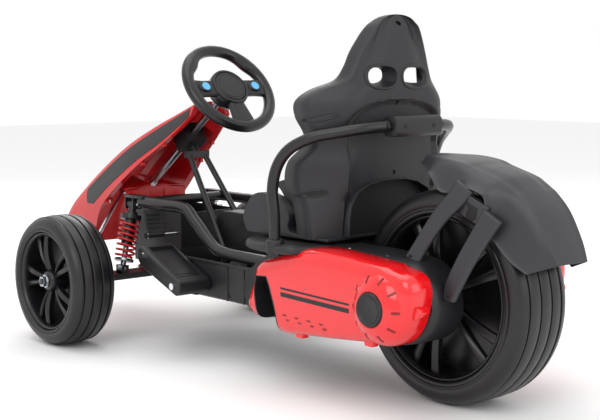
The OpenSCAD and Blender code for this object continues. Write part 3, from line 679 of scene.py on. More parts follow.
# Front point and rear point (ahead of and above the front axle line), half width front and back
NOSE_ROWS = [
    (-140, 486, -140, 460, 38, 50),
    (-80, 463, -110, 434, 42, 58),
    (0, 432, -55, 393, 48, 70),
    (90, 390, 0, 356, 56, 83),
    (170, 340, 45, 320, 64, 95),
    (240, 288, 85, 287, 72, 102),
    (295, 240, 125, 250, 78, 102),
    (321, 196, 145, 205, 80, 101),
    (325, 150, 155, 160, 78, 98),
]


def nose_place(row, u, y, wheelbase):
    fx, fz, rx, rz = row[:4]
    return (wheelbase + mix(fx, rx, u), y, mix(fz, rz, u))


def nose_side(row, u):
    """Half width of the outer side at a share u from the front edge to the rear ridge."""
    front, back = row[4], row[5]
    marks = [
        (0.0, front * 0.62), (0.035, front - 4), (0.1, front + 1),
        (0.55, mix(front, back, 0.5) + 1.5), (1.0, back),
    ]
    for (a, ya), (b, yb) in zip(marks, marks[1:]):
        if u <= b:
            return mix(ya, yb, (u - a) / (b - a))
    return back


def nose_ring(row, wheelbase):
    deep = math.hypot(row[2] - row[0], row[3] - row[1])
    skin = 2.6 / deep
    outer = [
        (u, nose_side(row, u))
        for u in (1, 0.9, 0.7, 0.55, 0.35, 0.2, 0.1, 0.06, 0.035, 0.012)
    ]
    outer.append((0.0, nose_side(row, 0)))
    lip = mix(4, min(15, row[5] * 0.2), smooth_step((row[3] - 225) / 70))
    inner = [
        (1.0 - 0.5 * skin, row[5] - lip),
        (0.96, row[5] - lip - 2.0),
        (0.7, nose_side(row, 0.7) - lip - 2),
        (0.4, nose_side(row, 0.4) - lip * 0.7),
        (0.12 + skin, nose_side(row, 0.12) - 6),
        (0.03 + skin, nose_side(row, 0.03) - 7),
        (skin, row[4] * 0.4),
    ]
    left = [nose_place(row, u, y, wheelbase) for u, y in outer]
    crown = [nose_place(row, 0, row[4] * k, wheelbase) for k in (0.3, 0, -0.3)]
    right = [nose_place(row, u, -y, wheelbase) for u, y in reversed(outer)]
    back = [nose_place(row, u, -y, wheelbase) for u, y in inner]
    floor = [nose_place(row, skin, 0, wheelbase)]
    front = [nose_place(row, u, y, wheelbase) for u, y in reversed(inner)]
    return left + crown + right + back + floor + front


def make_nose(wheelbase, paint):
    rows = curve(NOSE_ROWS, 7)
    cowl = Shape().loft([nose_ring(row, wheelbase) for row in rows]).make(
        "Nose cowl", paint["nose"], smooth=24
    )
    film = Shape()
    first, last = 2, 40
    for side in (1, -1):
        rings = []
        for i in range(first, last + 1):
            t = (i - first) / (last - first)
            row = rows[i]
            low = mix(0.26, 0.16, t) + 0.36 * max(0, (t - 0.88) / 0.12)
            high = mix(0.93, 0.72, t)
            shares = [mix(low, high, k / 6) for k in range(7)]
            over = [
                nose_place(row, u, side * (nose_side(row, u) + 0.7), wheelbase)
                for u in shares
            ]
            under = [
                nose_place(row, u, side * (nose_side(row, u) + 0.1), wheelbase)
                for u in reversed(shares)
            ]
            rings.append(over + under)
        film.loft(rings, strips=True)
    return cowl, film.make("Nose side films", paint["film"], smooth=40)


def make_shroud(wheelbase, paint):
    """Roof over the steering column, from ridge to ridge behind the nose's top edge."""
    rings = []
    for x, half, ridge, crest in (
        (-139, 49, 460, 486),
        (-110, 57, 434, 466),
        (-98, 60, 425, 456),
        (-88, 62, 417, 446),
    ):
        over = [(half, ridge), (30, mix(ridge, crest, 0.62)), (15, crest), (0, crest + 1.5)]
        over = over + [(-y, z) for y, z in reversed(over[:3])]
        under = [(y * 0.94, z - 3) for y, z in reversed(over)]
        rings.append([(wheelbase + x, y, z) for y, z in over + under])
    return Shape().loft(rings, strips=True).make("Nose shroud", paint["nose"], smooth=20)


def make_nose_inside(wheelbase, paint):
    """The slanted wall at the bottom of the trough with its two ledges beside the column."""
    wall = Shape()
    x = wheelbase + 58
    for side in (-1, 1):
        wall.loft(
            [
                [
                    (x, side * 12, 304), (x, side * 78, 296), (x + 78, side * 60, 306),
                    (x + 88, side * 12, 322),
                ],
                [
                    (x, side * 12, 300), (x, side * 78, 292), (x + 78, side * 60, 302),
                    (x + 88, side * 12, 318),
                ],
            ]
        )
    wall.block((x, -78, 244), (x + 3, 78, 300))
    wall.block((x - 2, -64, 250), (x + 1, -20, 292))
    wall.block((x - 2, 20, 250), (x + 1, 64, 292))
    return wall.make("Nose bulkhead", paint["nose"], bevel=1.0)


def make_nose_tabs(wheelbase, paint):
    """Bolted boss at each lower rear corner, and the small clips along the ridge."""
    boss = Shape()
    clips = Shape()
    heads = Shape()
    for side in (1, -1):
        y = side * 90
        boss.tube([(wheelbase + 114, y, 270), (wheelbase + 100, y, 270)], 6.5)
        boss.block(
            (wheelbase + 102, min(y, side * 100), 265),
            (wheelbase + 118, max(y, side * 100), 275),
        )
        heads.tube([(wheelbase + 100, y, 270), (wheelbase + 96, y, 270)], [5.2, 4.4])
        for x, z, w in ((-3, 354, 76), (-62, 396, 62)):
            clips.block(
                (wheelbase + x - 4, side * w - 4, z - 3),
                (wheelbase + x + 4, side * w + 4, z + 5),
            )
    return (
        boss.make("Nose bosses", paint["nose"], bevel=1.2),
        clips.make("Nose clips", paint["nose"], bevel=0.8),
        heads.make("Nose bolts", paint["chrome"], bevel=0.8),
    )


# Steering ---------------------------------------------------------------------


def column_matrix(wheelbase):
    """From the wheel's own frame, Z down the column and X towards the driver's lap."""
    turn = Matrix.Rotation(math.radians(127.5), 4, "Y")
    return Matrix.Translation(Vector((wheelbase - 202, 0, 515))) @ turn


def make_steering_wheel(wheelbase, radius, paint):
    """Grip with thumb rests, three spokes and a hub cup with a raised pad."""
    home = column_matrix(wheelbase)
    ring = radius - 12
    grip = Shape()
    rings = []
    for k in range(120):
        a = 2 * math.pi * k / 120
        lean = abs(math.atan2(math.sin(a - math.pi), math.cos(a - math.pi)))
        rest = math.exp(-(((lean - math.radians(50)) / math.radians(14)) ** 2))
        wide, tall = 12 + 3.4 * rest, 11.2 + 1.0 * rest
        centre = ring - 3.2 * rest
        rings.append(
            [
                (
                    (centre + wide * math.cos(b)) * math.cos(a),
                    (centre + wide * math.cos(b)) * math.sin(a),
                    tall * math.sin(b),
                )
                for b in (2 * math.pi * j / 24 for j in range(24))
            ]
        )
    grip.loft(rings, closed=True)
    spokes = Shape()
    for angle, near, far in ((90, 19, 16), (-90, 19, 16), (0, 17, 26)):
        a = math.radians(angle)
        rings = []
        for t in (0, 0.25, 0.5, 0.75, 1):
            r = mix(30, ring - 2, t)
            w = mix(near, far, t) + (0 if angle == 0 else 8 * t**4)
            top = mix(-5.5, -5.0, t)
            rings.append(
                [
                    (r * math.cos(a) - v * math.sin(a), r * math.sin(a) + v * math.cos(a), z)
                    for v, z in (
                        (-w, 5), (-w, top + 3), (-w + 3, top), (w - 3, top), (w, top + 3), (w, 5),
                    )
                ]
            )
        spokes.loft(rings)
    for side in (-1, 1):
        spokes.loft(
            [
                [
                    (q * math.cos(b), side * 62 + long * q * math.sin(b), z)
                    for b in (2 * math.pi * j / 36 for j in range(36))
                ]
                for q, long, z in (
                    (13.5, 1.35, -2), (11.4, 1.3, -8.6), (9.6, 1, -8.6), (9.6, 1, -2),
                )
            ],
            closed=True,
        )
    bars = spokes.turned(home).make("Steering wheel spokes", paint["rim"], bevel=1.6, segments=3)
    pockets = Shape()
    for side in (-1, 1):
        pockets.tube([(0, side * 62, -14), (0, side * 62, -0.9)], 9.6, 36, up=(1, 0, 0))
    cut(bars, pockets.turned(home), overlapping=True)
    hub = Shape()
    profile = [(7.8, 27), (24, 27), (36, 24), (41, 14), (42, 0), (41, -6), (39.5, -8), (35.2, -8)]
    profile += [(35.2, -2), (7.8, -2)]
    hub.lathe([(r, z) for r, z in profile], (0, 0, 0), 96)
    stand = Matrix.Rotation(math.radians(90), 4, "X")
    hub = hub.turned(stand)
    pad = Shape().lathe(
        [
            (0.5, -2), (34.4, -2), (34.2, -6.5), (32.5, -8.6), (29.6, -9.1), (29, -8.3),
            (28, -8.3), (27.4, -9.1), (0.5, -9.4),
        ],
        (0, 0, 0),
        96,
    )
    pad = pad.turned(stand)
    return (
        grip.turned(home).make("Steering wheel grip", paint["rim"], smooth=60),
        bars,
        hub.turned(home).make("Steering wheel hub", paint["rim"], bevel=0.6),
        pad.turned(home).make("Steering wheel pad", paint["cover"], smooth=25),
    )


# Seat -------------------------------------------------------------------------

# Share of the height, share of the half width, edge place, back place
SEAT_ROWS = [
    (-0.055, 0.94, 205, 166),
    (0, 0.94, 205, 164),
    (0.11, 0.95, 212, 158),
    (0.17, 0.98, 222, 155),
    (0.24, 1, 222, 152),
    (0.31, 1, 212, 150),
    (0.38, 0.91, 198, 149),
    (0.44, 0.91, 194, 148),
    (0.52, 0.97, 202, 148),
    (0.59, 0.97, 203, 147),
    (0.645, 0.85, 194, 147),
    (0.69, 0.66, 176, 147),
    (0.75, 0.575, 170, 148),
    (0.82, 0.51, 167, 149),
    (0.885, 0.43, 162, 150),
    (0.94, 0.35, 158, 152),
    (0.965, 0.285, 157.5, 153),
    (0.985, 0.21, 156.5, 154),
    (0.996, 0.12, 156, 155),
    (1, 0.03, 155.5, 155),
]
SEAT_LOW = 284
SEAT_RISE = 364


def seat_line(row):
    """Half of the seat's outer line at one height, from the middle of the back to the edge."""
    _, wide, edge, back = row
    w = wide * 166
    near = min(1.0, wide / 0.4)
    marks = [
        (back, 0),
        (back + 1.5 * near, w * 0.36),
        (back + 8 * near, w * 0.66),
        (edge - 8 * near, w - 10 * near),
        (edge + 5 * near, w - 1.5 * near),
        (edge + 20 * near, w - 0.5 * near),
        (edge + 46 * min(1.0, wide), w - 6 * near),
    ]
    return curve(marks, 8)


def seat_sink(y, z):
    """How far the panel in the middle of the seat's back is sunk at one place."""
    if z > 462:
        inside = 60 * (1 - math.hypot(y / 111, (z - 462) / 40))
    else:
        inside = mix(108, 111, (z - SEAT_LOW) / 178) - abs(y)
    return 9 * smooth_step(inside / 7)


def seat_x(y, z):
    """Where the outer face of the seat back is."""
    shares = [row[0] for row in SEAT_ROWS]
    share = (z - SEAT_LOW) / SEAT_RISE
    row = [np.interp(share, shares, [r[i] for r in SEAT_ROWS]) for i in range(4)]
    line = seat_line(row)
    return np.interp(abs(y), line[:40, 1], line[:40, 0]) + seat_sink(y, z)


def seat_ring(row, wall=4.0):
    z = SEAT_LOW + row[0] * SEAT_RISE
    half = seat_line(row)
    outer = np.concatenate([half[::-1], [(x, -y) for x, y in half[1:]]])
    wide = row[1] * 100
    skin = wall * min(1.0, wide / 20)
    back, front = [], []
    for i, (x, y) in enumerate(outer):
        t = outer[min(i + 1, len(outer) - 1)] - outer[max(i - 1, 0)]
        t = t / np.linalg.norm(t)
        head = 22 * max(0, 1 - (y / wide) ** 2) * smooth_step((z - 500) / 30)
        sink = seat_sink(y, z)
        depth = skin + head
        back.append((x + sink, y, z))
        front.append((x + sink - depth * t[1], y + depth * t[0], z))
    return back, front


def oval(half_y, half_z, tilt=0.0, count=40):
    """Points of a rounded oblong around its middle."""
    out = []
    for k in range(count):
        a = 2 * math.pi * k / count
        y = half_y * math.copysign(abs(math.cos(a)) ** 0.8, math.cos(a))
        z = half_z * math.copysign(abs(math.sin(a)) ** 0.8, math.sin(a))
        out.append(
            (
                y * math.cos(tilt) - z * math.sin(tilt),
                y * math.sin(tilt) + z * math.cos(tilt),
            )
        )
    return out


def make_seat(paint):
    """Seat shell with its eyes, slots, screw holes and the well over the rear wheel."""
    rings = []
    for row in curve(SEAT_ROWS, 6):
        back, front = seat_ring(row)
        rings.append(back + front[::-1])
    shell = Shape().loft(rings, strips=True).make("Seat back", paint["seat"], smooth=50)
    holes = Shape()
    lips = Shape()
    slots = Shape()
    arch = [(104, 270), (103, 300), (100, 320), (86, 342), (60, 355), (30, 361)]
    arch = arch + [(0, 362)] + [(-y, z) for y, z in reversed(arch)]
    low = [(104, 250)] + arch + [(-104, 250)]
    holes.loft([[(x, y, z) for y, z in low] for x in (100, 184)])
    for side in (-1, 1):
        steps = (
            (130, 33, 19, 541), (148, 33, 19, 541), (174, 18, 10, 544.5), (200, 18, 10, 544.5),
        )
        holes.loft(
            [[(x, side * 40 + y, mid + z) for y, z in oval(a, b)] for x, a, b, mid in steps]
        )
        edge = [(side * 40 + y, 541 + z) for y, z in oval(34, 20)]
        path = [(seat_x(y, z) + 0.4, y, z) for y, z in edge + edge[:1]]
        lips.tube(path, 2.4, 10, up=(1, 0, 0))
        for y, z, long, high, tilt in ((143, 474, 20, 5, -0.3), (147, 343, 15, 5, -0.25)):
            edge = [(side * (y + p), z + q) for p, q in oval(long, high, tilt)]
            ring = [(seat_x(y, z), y, z) for y, z in edge]
            slots.loft([[(x + move, y, z) for x, y, z in ring] for move in (-0.4, 4)])
            lips.tube(ring + ring[:1], 1.5, 8, up=(1, 0, 0))
    for z in (496, 375):
        holes.tube([(120, 0, z), (200, 0, z)], 4)
        slots.tube([(seat_x(0, z) + 1.6, 0, z), (seat_x(0, z) + 3, 0, z)], 4.6)
    slots.loft([[(x, y, 633 + z) for y, z in oval(7.6, 3.8, 0.35, 20)] for x in (158, 162)])
    holes.loft([[(x, y, 633 + z) for y, z in oval(7, 3.2, 0.35, 20)] for x in (120, 200)])
    cut(shell, holes, 50)
    rim = lips.make("Seat lips", paint["seat"], smooth=60)
    # Painted shade: the near-black plugs in the side slots and in the screw holes stand for the shade
    # seen inside them.
    painted_shade = slots.make("Seat slots", paint["painted_shade"])
    grown = [(y * 1.03, z + (2.5 if z > 275 else -2.5)) for y, z in arch]
    well = Shape().loft(
        [
            [(x, y, z) for y, z in line]
            for x, line in ((182, arch), (160, arch), (160, grown), (185, grown))
        ]
    )
    tub = well.make("Seat wheel well", paint["seat"], bevel=1.5)
    # Painted shade: a thin near-black sheet inside the wheel well stands for the shade in it.
    shade_sheet = Shape().loft([[(x, y * 0.99, z - 1) for y, z in arch] for x in (180.5, 182.5)])
    shade = shade_sheet.make("Seat well shade sheet", paint["painted_shade"])
    base = Shape()
    base.slab(
        [(172, -146), (172, 146), (205, 150), (378, 150), (378, -150), (205, -150)], 262, 268,
    )
    base.slab([(190, -118), (190, 118), (330, 118), (330, -118)], 258.5, 262)
    marks = [
        (205, 267),
        (262, 274),
        (262, 302),
        (290, 324),
        (330, 336),
        (362, 330),
        (384, 304),
        (389, 284),
        (378, 263),
    ]
    outline = [tuple(p) for p in curve(marks, 4)] + [(205, 263)]
    for side in (-1, 1):
        base.plate(outline, min(side * 128, side * 156), max(side * 128, side * 156))
    lip = [(354, 263), (391, 263), (388, 280), (376, 290), (362, 290), (354, 280)]
    base.plate(lip, -128, 128)
    seat_base = base.make("Seat base", paint["seat"], bevel=7, segments=4, smooth=50)
    return [shell, rim, painted_shade, tub, shade], seat_base


def make_straps(paint):
    """Lap strap ends that lie over the bolsters."""
    straps = Shape()
    for side in (-1, 1):
        path = curve([(258, 126, 276), (276, 126, 310), (300, 126, 344), (322, 126, 356)], 5)
        rings = []
        for p in path:
            rings.append(
                [
                    (p[0] - 17, side * 124.2, p[2] + 4),
                    (p[0] + 17, side * 124.2, p[2] - 5),
                    (p[0] + 17, side * 126.4, p[2] - 5),
                    (p[0] - 17, side * 126.4, p[2] + 4),
                ]
            )
        straps.loft(rings)
    return straps.make("Lap straps", paint["web"], bevel=0.4)


# Frame ------------------------------------------------------------------------


def make_hoop(paint):
    half = [
        (118, 57, 458),
        (118, 66, 458),
        (132, 104, 455),
        (158, 134, 449),
        (192, 164, 440),
        (226, 184, 420),
        (247, 194, 390),
        (254, 199, 350),
        (248, 200, 305),
        (247, 200, 270),
        (247, 200, 243),
    ]
    path = curve([(x, -y, z) for x, y, z in reversed(half)] + half, 8)
    return Shape().tube(path, 10, 32, up=(1, 0, 0)).make("Roll hoop", paint["coat"], smooth=60)


def make_bracket(paint):
    """Saddle around the hoop's crossbar, with an arm to the seat."""
    saddle = Shape()
    outline = [
        (99, 446), (99, 470), (104, 475.5), (124, 475.5), (131, 468), (131, 446), (126, 440.5),
        (104, 440.5),
    ]
    saddle.plate(outline, -56, 56)
    saddle.loft(
        [
            [(120, -50, 466), (120, 50, 466), (120, 50, 470), (120, -50, 470)],
            [(146, -38, 468), (146, 38, 468), (146, 38, 473), (146, -38, 473)],
        ]
    )
    obj = saddle.make("Hoop bracket", paint["cover"], bevel=3, segments=4)
    # Painted shade: near-black discs on the saddle stand for the shade in its two holes, which are not
    # cut.
    holes = Shape()
    for side in (-1, 1):
        holes.tube([(98.7, side * 35, 458), (101, side * 35, 458)], 3.8, up=(0, 1, 0))
    return [obj, holes.make("Hoop bracket holes", paint["painted_shade"])]


def make_rails(wheelbase, paint):
    made = []
    left = Shape()
    path = [
        (wheelbase - 32, 100, 280),
        (wheelbase - 110, 100, 280),
        (wheelbase - 185, 100, 278),
        (wheelbase - 225, 104, 256),
        (wheelbase - 290, 110, 215),
        (wheelbase - 330, 112, 205),
        (wheelbase - 420, 112, 203),
        (330, 112, 203),
        (220, 96, 200),
        (130, 89, 190),
        (78, 88, 184),
    ]
    left.tube(curve(path, 10), 11, 32)
    left.plate(
        [
            (120, 164), (120, 196), (36, 196), (20, 214), (-20, 214), (-38, 196), (-38, 164),
            (-20, 146), (20, 146), (36, 164),
        ],
        80.5,
        83.5,
    )
    for x in (813, 841):
        left.block((wheelbase - 830 + x, 89, 262), (wheelbase - 830 + x + 4, 111, 290))
    left.block((wheelbase - 51, 92, 286), (wheelbase + 13, 111, 292))
    for shape, side in ((left, "left"), (left.mirrored(), "right")):
        made.append(shape.make(f"Rail {side}", paint["coat"], bevel=0.8, smooth=40))
    return made


def spring_ends(side, wheelbase):
    """The damper's top eye and its foot on the arm."""
    return Vector((wheelbase - 1, side * 100, 272)), Vector((wheelbase - 18, side * 140, 142))


def make_spring(name, side, wheelbase, turns, paint, coil):
    """Coil spring on the line from the damper's top eye to its foot."""
    top, foot = spring_ends(side, wheelbase)
    line = foot - top
    start = top + line.normalized() * 36.8
    height = line.length - 20 - 34 - 5.4
    tilt = line.to_track_quat("Z", "Y").to_euler()
    obj = Shape().make(name, paint["spring"])
    run_group(
        obj,
        coil,
        Turns=float(turns),
        Radius=0.019,
        Height=height / 1000,
        Wire=0.0025,
        Start=point(*start),
        Tilt=tuple(tilt),
        Material=paint["spring"],
    )
    return obj


# Rear body --------------------------------------------------------------------

POD_OUTLINE = [
    (0, 250),
    (55, 254),
    (121, 258),
    (175, 256),
    (215, 248),
    (262, 233),
    (302, 219),
    (314, 190),
    (330, 134),
    (272, 112),
    (234, 101),
    (193, 104),
    (122, 109),
    (36, 117),
    (-20, 124),
    (-52, 144),
    (-68, 180),
    (-72, 214),
    (-58, 236),
    (-24, 245),
]


def inset(outline, spine, amount):
    """Points drawn in towards the nearest place on a spine, by a distance."""
    a, b = np.array(spine[0], float), np.array(spine[1], float)
    out = []
    for p in np.asarray(outline, float):
        t = np.clip(np.dot(p - a, b - a) / np.dot(b - a, b - a), 0, 1)
        q = a + t * (b - a)
        gap = np.linalg.norm(q - p)
        out.append(p + (q - p) * min(amount / gap, 0.985))
    return out


def closed_curve(outline, steps):
    """A smooth closed line through the points."""
    n = len(outline)
    wide = [outline[(i - 2) % n] for i in range(n + 5)]
    line = curve(wide, steps)
    return line[2 * steps : (2 + n) * steps]


def make_pod(name, paint, copies):
    """Glossy pod: a swollen shell, an intake in front, and a round drum cover with a black cap."""
    outline = closed_curve(POD_OUTLINE, 5)
    spine = ((5, 182), (275, 168))
    rings = []
    levels = ((147, 1), (150, 0), (172, 0.4), (182, 1.5), (190, 4), (195.5, 9), (198.8, 16))
    levels += ((199.9, 26), (200, 300))
    for y, amount in levels:
        rings.append([(x, y, z) for x, z in inset(outline, spine, amount)])
    shell = Shape().loft(rings).make(name, paint["pod"], smooth=40)
    mouth = [(307, 182), (300, 197), (270, 199), (261, 182), (250, 154), (244, 135), (237, 98)]
    mouth += [(296, 98), (300, 137), (305, 163)]
    cut(shell, Shape().plate(mouth, 158, 240), 40)
    liner = Shape().loft(rings).make(name + " intake", paint["cover"], smooth=40)
    cut(liner, Shape().plate(mouth, 156, 240), 40, "INTERSECT")
    hollow = [(x, z) for x, z in inset(mouth, ((276, 150), (284, 186)), 3)]
    hollow = [(x, z if z > 110 else 80) for x, z in hollow]
    cut(liner, Shape().plate(hollow, 160, 240), 40)
    dome = [(63.5, 168), (62, 180), (58, 192), (52, 201), (44, 208), (34, 213), (29, 214)]
    dome = [tuple(p) for p in curve(dome, 4)]
    drum = (
        Shape()
        .lathe([(20, 150), (63.5, 150)] + dome + [(28, 212), (20, 212)], (0, 0, AXLE_Z), 120)
        .make(name + " drum", paint["pod"], smooth=32)
    )
    dish = [(0.4, 208), (27.6, 208), (27.8, 215), (26.4, 218), (24.6, 218.4), (21.5, 215)]
    dish += [(14, 212.6), (0.4, 212)]
    cap = Shape().lathe(dish, (0, 0, AXLE_Z), 96).make(name + " cap", paint["cover"], smooth=32)
    # Painted shade: the drum's ten slots are thin raised blocks in the darker red, standing for the
    # shadow inside the slots.
    slope = Matrix.Rotation(math.radians(41), 4, "Z")
    shaded_notch = Shape().block((-7, -0.6, -2), (7, 0.6, 2)).turned(slope.inverted())
    shaded_notch = shaded_notch.turned(Matrix.Translation((48, 204.6, 0)))
    marks = shaded_notch.make(name + " drum slots", paint["shaded_notch"], start=0)
    run_group(
        marks,
        copies,
        Count=10,
        Start=point(0, 0, AXLE_Z),
        Turn=2 * math.pi / 10,
        Material=paint["shaded_notch"],
    )
    stripes = Shape()
    for low, high in ((179, 182.4), (166.5, 174)):
        stripes.plate(
            [(232, low + 2), (232, high + 2), (62, high - 3), (62, low - 3)], 199.6, 200.35,
        )
    film = stripes.make(name + " stripes", paint["film"])
    vents = []
    # Painted shade: each vent is a small block in the darker red, standing for the shadow in the
    # opening.
    for word, start in (("high", (222, 199.8, 137)), ("low", (214, 199.5, 129.6))):
        slot = Shape().block((-4.5, -0.6, -1.5), (4.5, 0.6, 1.5))
        slot = slot.make(f"{name} vents {word}", paint["shaded_notch"], bevel=0.4, start=0)
        run_group(
            slot,
            copies,
            Count=4,
            Start=point(*start),
            Step=(-0.031, 0, -0.0006),
            Turn=0.0,
            Material=paint["shaded_notch"],
        )
        vents.append(slot)
    tabs = Shape()
    for x, z in ((200, 105), (31, 118)):
        tabs.plate([(x - 12, z + 6), (x + 12, z + 6), (x + 9, z - 6), (x - 9, z - 6)], 172, 186)
    tabs.plate([(-62, 192), (-62, 168), (-74, 172), (-78, 180), (-74, 188)], 158, 182)
    clips = tabs.make(name + " tabs", paint["pod"], bevel=1.5, segments=3)
    # Painted shade: the screws are near-black discs standing for the shade in their recesses.
    screws = Shape()
    for x, z in ((304, 204), (316, 144)):
        screws.disc(3.2, 186, 191, (x, z), 24)
    heads = screws.make(name + " screws", paint["painted_shade"], bevel=0.5)
    return [shell, drum, cap, marks, liner, film, *vents, clips, heads]


COVER_OUTLINE = [
    (0, 252),
    (60, 256),
    (120, 257),
    (200, 254),
    (285, 228),
    (334, 205),
    (338, 170),
    (334, 138),
    (280, 121),
    (225, 115),
    (120, 111),
    (20, 110),
    (-34, 122),
    (-62, 146),
    (-72, 180),
    (-62, 216),
    (-34, 243),
]


def make_side_cover(name, paint):
    outline = closed_curve(COVER_OUTLINE, 5)
    spine = ((20, 182), (290, 172))
    rings = []
    for y, amount in ((74, 0.8), (77, 0), (128, 0), (138, 1), (144, 4), (146, 9)):
        rings.append([(x, y, z) for x, z in inset(outline, spine, amount)])
    cover = Shape().loft(rings).make(name, paint["cover"], smooth=40)
    well = [
        (36 * math.cos(a), AXLE_Z + 36 * math.sin(a))
        for a in (math.pi * k / 24 for k in range(48))
    ]
    cut(cover, Shape().plate(well, 40, 100), 40)
    front = [(326, 228), (343, 219), (367, 205), (383, 191), (402, 171), (400, 137), (384, 122)]
    front += [(300, 118), (300, 236)]
    nose = Shape().plate(front, 133, 146).make(
        name + " front", paint["cover"], bevel=3, segments=3,
    )
    screws = Shape()
    for x, z in ((210, 251.5), (128, 256), (38, 253)):
        screws.tube([(x, 136, z - 3), (x, 136, z + 1.2)], 2.6, 20, up=(0, 1, 0))
    heads = screws.make(name + " screws", paint["zinc"], bevel=0.4)
    return [cover, nose, heads]


def make_deck(paint):
    """Top cover between the pods, with a collar around each foot of the hoop."""
    deck = Shape()
    half = [(172, 146), (188, 192), (212, 212), (290, 212), (332, 196), (350, 168), (354, 130)]
    line = [tuple(p) for p in curve(half, 4)]
    outline = line + [(x, -y) for x, y in reversed(line)]
    rings = []
    for z, amount in ((243, 3), (246, 0), (252, 0), (256, 2), (258, 6)):
        rings.append([
            (x + (-amount if x > 260 else amount) * 0.7, y - math.copysign(amount, y), z)
            for x, y in outline
        ])
    deck.loft(rings)
    top = deck.make("Body deck", paint["cover"], smooth=40)
    collars = Shape()
    for side in (-1, 1):
        profile = [(10.9, -242), (16, -242), (16, -262), (14.8, -264.5), (12, -266), (10.9, -265)]
        ring = Shape().lathe([(r, y) for r, y in profile], (0, 0, 0), 48)
        ring = ring.turned(Matrix.Translation((247, side * 200, 0)) @ Matrix.Rotation(
            math.radians(-90), 4, "X",
        ))
        collars.add(ring.points, ring.faces)
    collar = collars.make("Hoop collars", paint["cover"], smooth=30)
    front = Shape().block((188, -68, 226), (192, 68, 245)).make(
        "Deck front lip", paint["cover"], bevel=1,
    )
    return [top, collar, front]


# Place and height over the axle, lean, half width, skirt depth, middle ridge
FENDER_ROWS = [
    (66, 233, -6, 26, 3, 0),
    (50, 234, -3, 48, 8, 0),
    (27, 234, 0, 64, 16, 0),
    (5, 233, 3, 74, 22, 0),
    (-20, 230, 6, 79, 40, 0),
    (-44, 226, 10, 80, 42, 0.5),
    (-62, 220, 13, 80, 30, 1.5),
    (-81, 215, 17, 80, 20, 2.5),
    (-113, 206, 24, 80, 18, 3.0),
    (-128, 199, 30, 79, 22, 3.0),
    (-146, 188, 36, 78, 42, 1.5),
    (-160, 179, 42, 76, 60, 0),
    (-188, 152, 52, 72, 66, 0),
    (-214, 108, 63, 68, 56, 0),
    (-228, 78, 70, 60, 40, 0),
]


def fender_section(row):
    """Outer and inner lines across the fender at one place."""
    x, z, lean, half, skirt, ridge = row
    a = math.radians(lean)
    up = np.array([-math.sin(a), 0, math.cos(a)])
    centre = np.array([x, 0, AXLE_Z + z])
    outer, inner = [], []
    for k in range(-16, 17):
        v = k / 16
        y = half * math.sin(v * math.pi / 2 * 0.98) / math.sin(math.pi / 2 * 0.98)
        side = abs(y) / half
        drop = 7 * side**2 + skirt * smooth_step((side - 0.62) / 0.38) ** 1.3
        crease = 1.6 * math.exp(-(((side - 0.6) / 0.05) ** 2)) * smooth_step(skirt / 40)
        lift = ridge * smooth_step((0.42 - side) / 0.08)
        high = lift + crease - drop
        outer.append(centre + np.array([0, y, 0]) + high * up)
        inner.append(centre + np.array([0, y * (1 - 3 / half), 0]) + (high - 2.6) * up)
    return outer, inner


def make_fender(paint):
    rows = curve(FENDER_ROWS, 5)
    rings = []
    for row in rows:
        outer, inner = fender_section(row)
        rings.append(outer + inner[::-1])
    shell = Shape().loft(rings, strips=True).make("Rear fender", paint["fender"], smooth=40)
    stays = Shape()
    for side in (-1, 1):
        for path in (
            [
                (0, 118, 250, 15), (-10, 108, 275, 14), (-35, 94, 320, 15), (-62, 84, 352, 17),
                (-74, 76, 372, 19),
            ],
            [
                (-80, 118, 194, 12), (-84, 112, 218, 16), (-98, 100, 258, 17),
                (-118, 88, 300, 18), (-134, 80, 330, 20),
            ],
        ):
            rings = []
            line = curve(path, 4)
            for i, (x, y, z, w) in enumerate(line):
                t = line[min(i + 1, len(line) - 1)][:3] - line[max(i - 1, 0)][:3]
                across = np.array([t[2], 0, -t[0]]) / math.hypot(t[0], t[2])
                c = np.array([x, side * y, z])
                out = np.array([0, side, 0])
                rings.append(
                    [
                        c - w * across - 5 * out,
                        c - w * across + 2 * out,
                        c - (w - 4) * across + 5 * out,
                        c + (w - 4) * across + 5 * out,
                        c + w * across + 2 * out,
                        c + w * across - 5 * out,
                    ]
                )
            stays.loft(rings)
        corners = [(-66, 366), (-124, 341), (-110, 309), (-54, 331)]
        stays.plate(corners, min(side * 70, side * 81), max(side * 70, side * 81))
    bars = stays.make("Fender stays", paint["fender"], bevel=2.2, segments=3, smooth=40)
    # Painted shade: the reflector recesses and the stay screws are near-black plates and discs standing
    # for the shade in their hollows.
    marks = Shape()
    dots = Shape()
    for side in (-1, 1):
        lens = [(-80, 348), (-104, 338), (-100, 322)]
        lens += [
            (-91 + 12 * math.cos(a), 328 + 10 * math.sin(a))
            for a in (-1.9, -1.2, -0.5, 0.2, 0.9)
        ]
        marks.plate(lens, min(side * 80.6, side * 81.6), max(side * 80.6, side * 81.6))
        for x, z, y in ((2, 256, 121), (-80, 202, 121)):
            dots.disc(
                2.8, min(side * y, side * (y + 1.6)), max(side * y, side * (y + 1.6)), (x, z), 20,
            )
    recess = marks.make("Reflector recesses", paint["painted_shade"], bevel=0.4)
    screws = dots.make("Stay screws", paint["painted_shade"], bevel=0.4)
    return [shell, bars, recess, screws]


# Floor ------------------------------------------------------------------------


